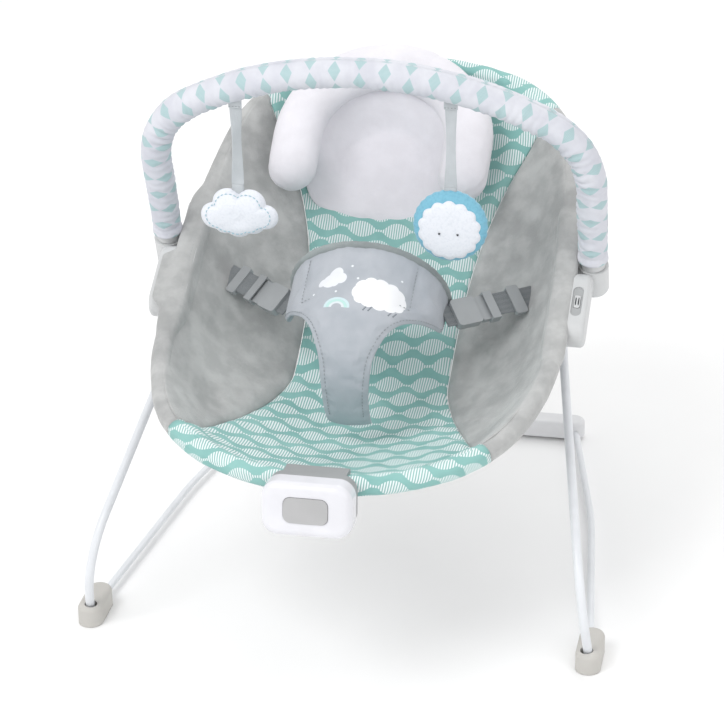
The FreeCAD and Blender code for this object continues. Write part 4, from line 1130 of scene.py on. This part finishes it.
def stuffed(name, outline, centre, thick, rings, pressure, cap):
    """A stuffed toy from a flat outline: two faces that meet at a seam, filled by cloth."""
    count = len(outline)
    middle = Vector((sum(p[0] for p in outline) / count, 0, sum(p[1] for p in outline) / count))
    verts, faces, uvs = [], [], []
    for face in (-1, 1):
        base = len(verts)
        for r in range(rings):
            t = 1 - r / rings
            for x, z in outline:
                q = Vector((x, 0, z)) * t + middle * (1 - t)
                bulge = thick * sqrt(max(0.0, 1 - t ** 2.6))
                verts.append(centre + Vector((q.x, face * bulge, q.z)) * MM)
                uvs.append((q.x, q.z))
        verts.append(centre + Vector((middle.x, face * thick, middle.z)) * MM)
        uvs.append((middle.x, middle.z))
        faces += tip_faces(rings, count, base, flip=face > 0)
    obj = make_object(name, verts, faces, uvs)
    modify(obj, "WELD", merge_threshold=0.0002)
    bake_modifiers(obj)
    inflate(obj, lambda v: 0.0, pressure=pressure, cap=cap, grow=0.02, stiffness=8.0, bending=0.3)
    subdivide(obj)
    return obj


def arcs_outline(lobes, count):
    """Outer edge of overlapping discs (x, z, r), sampled by angle from their middle."""
    cx = sum(l[0] for l in lobes) / len(lobes)
    cz = sum(l[1] for l in lobes) / len(lobes)
    outline = []
    for a in full_turn(count):
        dx, dz = cos(a), sin(a)
        reach = 0.0
        for x, z, r in lobes:
            px, pz = x - cx, z - cz
            along = px * dx + pz * dz
            off = px * px + pz * pz - along * along
            if off < r * r:
                reach = max(reach, along + sqrt(r * r - off))
        outline.append((cx + reach * dx, cz + reach * dz))
    return outline


def front_face(obj, x, z):
    """Place and normal of a toy's front face at x and z, in metres."""
    hit, place, normal = obj.ray_cast(Vector((x, -1, z)), Vector((0, 1, 0)))[:3]
    return (place, normal) if hit else (None, None)


def toy_tab(side, x, body):
    """Lower end of the ribbon, sewn into the top of the toy."""
    hang = toy_hang_point(x)
    end = hang.z - RIBBON_LENGTH * MM
    rows, cols, half = 8, 5, RIBBON_WIDTH / 2 - 0.9
    verts = [Vector((hang.x + spread(half, j, cols) * MM, hang.y,
                     end - (0.9 + 11.0 * i / (rows - 1)) * MM))
             for i in range(rows) for j in range(cols)]
    uvs = [(v.x / MM, v.z / MM) for v in verts]
    obj = make_object("toy_tab_" + side, verts, grid_faces(rows, cols), uvs)
    thicken(obj, 1.6)
    bake_modifiers(obj)
    finish_piece(obj, body, "ribbon_grey")


def build_cloud():
    toy_tab("left", CLOUD_X, "cloud")
    hang = toy_hang_point(CLOUD_X)
    top = hang.z / MM - RIBBON_LENGTH - 2.5
    centre = Vector((hang.x, hang.y, top * MM))
    lobes = ((-25, -33, 15), (-11, -20, 18), (12, -20, 18), (28, -32, 13.5), (0, -37, 19),
             (-14, -38, 15), (15, -38, 14))
    outline = arcs_outline(lobes, 96)
    toy = stuffed("cloud_cloth", outline, centre, 9.0, 12, 5.0, 5.0)
    inner = arcs_outline([(x * 0.82, -30 + (z + 32) * 0.76, r * 0.76) for x, z, r in lobes], 120)
    line, normals = [], []
    for x, z in inner + inner[:1]:
        place, normal = front_face(toy, centre.x + x * MM, centre.z + z * MM)
        if place is not None:
            line.append(place + normal * 0.15 * MM)
            normals.append(normal)
    finish_piece(toy, "cloud", "toy_white", ["cloud_toy"])
    thread = stitches("cloud_stitch", line, 3.0, 1.4, 0.5, normals)
    finish_piece(thread, "cloud", "toy_white", look=["thread_teal"])


def round_outline(count, radius_at, drop=0.0):
    return [(radius_at(a) * cos(a), radius_at(a) * sin(a) - drop) for a in full_turn(count)]


def build_round_toy():
    toy_tab("right", ROUND_TOY_X, "round_toy")
    hang = toy_hang_point(ROUND_TOY_X)
    radius = 37.5
    centre = Vector((hang.x, hang.y, hang.z - (RIBBON_LENGTH + 2.5 + radius + 1) * MM))
    outline = round_outline(112, lambda a: radius + 0.5 * cos(a * 28))
    toy = stuffed("round_cloth", outline, centre, 10.5, 12, 5.0, 4.0)
    scallops = round_outline(168, lambda a: 29.5 + 2.6 * abs(sin(a * 7)), 2.5)
    verts = []
    rings = 9
    for r in range(rings):
        t = 1 - r / rings
        for x, z in scallops:
            px, pz = centre.x + x * t * MM, centre.z + z * t * MM
            place, normal = front_face(toy, px, pz)
            height = 0.3 + 1.7 * edge_dip((1 - t) * 30, 5.0)
            verts.append(place + normal * height * MM)
    place, normal = front_face(toy, centre.x, centre.z)
    verts.append(place + normal * 2.0 * MM)
    face = make_object("round_fleece", verts, tip_faces(rings, len(scallops)))
    thicken(face, 1.6, -1.0)
    subdivide(face)
    for k, x in enumerate((-9.0, 9.0)):
        place, normal = front_face(toy, centre.x + x * MM, centre.z - 4.0 * MM)
        line = [place + normal * 2.3 * MM + Vector((d * MM, 0, 0)) for d in (-1.1, 1.1)]
        knot = stitches("round_eye_%d" % k, line, 2.2, 0.1, 1.1, [normal, normal])
        finish_piece(knot, "round_toy", "toy_blue", look=["eye_colour_and_slot_shade"])
    finish_piece(toy, "round_toy", "toy_blue", ["round_toy"])
    finish_piece(face, "round_toy", "toy_blue", look=["toy_white"])


# ---------------------------------------------------------------- rigid pieces keep their solids
def dress_frame():
    slots = {row["node"]: row["material_slot"] for row in frame["record"]["subparts"]}
    for name, obj in frame["nodes"].items():
        material = MATERIALS[slots[name]]
        if not obj.data.materials:
            obj.data.materials.append(material)
        for i in range(len(obj.data.materials)):
            obj.data.materials[i] = material


# ---------------------------------------------------------------- floor, light and camera
def build_stage():
    n = Nodes("studio_floor", 0.9, specular=0.1)
    n.colour(n.blotches(3.0, 3.0, (0.93, 0.93, 0.93), (0.95, 0.95, 0.95)))
    size = FLOOR_HALF_SIZE
    verts = [(x * size, y * size, 0.0) for y in (-1, 0, 1) for x in (-1, 0, 1)]
    floor = make_object("studio_floor", verts, grid_faces(3, 3))
    floor.data.materials.append(MATERIALS["studio_floor"])
    floor.location.z = -FLOOR_GAP


def add_light(name, place, target, size, power):
    light = bpy.data.lights.new(name, "AREA")
    light.size = size
    light.energy = power
    obj = bpy.data.objects.new(name, light)
    obj.location = place
    obj.rotation_mode = "QUATERNION"
    obj.rotation_quaternion = (Vector(target) - Vector(place)).to_track_quat("-Z", "Y")
    bpy.context.scene.collection.objects.link(obj)


def build_lights():
    world = bpy.data.worlds.new("studio")
    world.use_nodes = True
    world.node_tree.nodes["Background"].inputs["Color"].default_value = (1, 1, 1, 1)
    world.node_tree.nodes["Background"].inputs["Strength"].default_value = 0.84
    bpy.context.scene.world = world
    middle = (0, 0, 0.25)
    add_light("key", (-1.1, -1.5, 2.3), middle, 1.3, 30.0)
    add_light("fill", (1.9, -1.8, 1.6), middle, 1.8, 12.0)
    add_light("back", (0.5, 1.9, 2.0), middle, 1.6, 15.0)
    bpy.context.scene.view_settings.view_transform = "Standard"


def build_camera():
    camera = bpy.data.cameras.new("camera")
    camera.lens = CAMERA_LENS
    camera.sensor_width = 36.0
    camera.dof.use_dof = False
    obj = bpy.data.objects.new("camera", camera)
    place = Vector(CAMERA_PLACE)
    forward = (Vector(CAMERA_AIM) - place).normalized()
    roll = radians(CAMERA_ROLL)
    level = forward.cross(Vector((0, 0, 1))).normalized()
    right = level * cos(roll) + level.cross(forward) * sin(roll)
    up = right.cross(forward)
    obj.matrix_world = Matrix.Translation(place) @ Matrix((right, up, -forward)).transposed().to_4x4()
    bpy.context.scene.collection.objects.link(obj)
    bpy.context.scene.camera = obj


build_cover()
build_hems()
build_hub_flaps()
build_recess_and_slot_shade()
build_pillow()
build_restraint()
build_straps()
build_sleeve()
ribbon("left", CLOUD_X, "ribbon_left", 0.9)
ribbon("right", ROUND_TOY_X, "ribbon_right", -0.5)
build_cloud()
build_round_toy()
dress_frame()
build_stage()
build_lights()
build_camera()
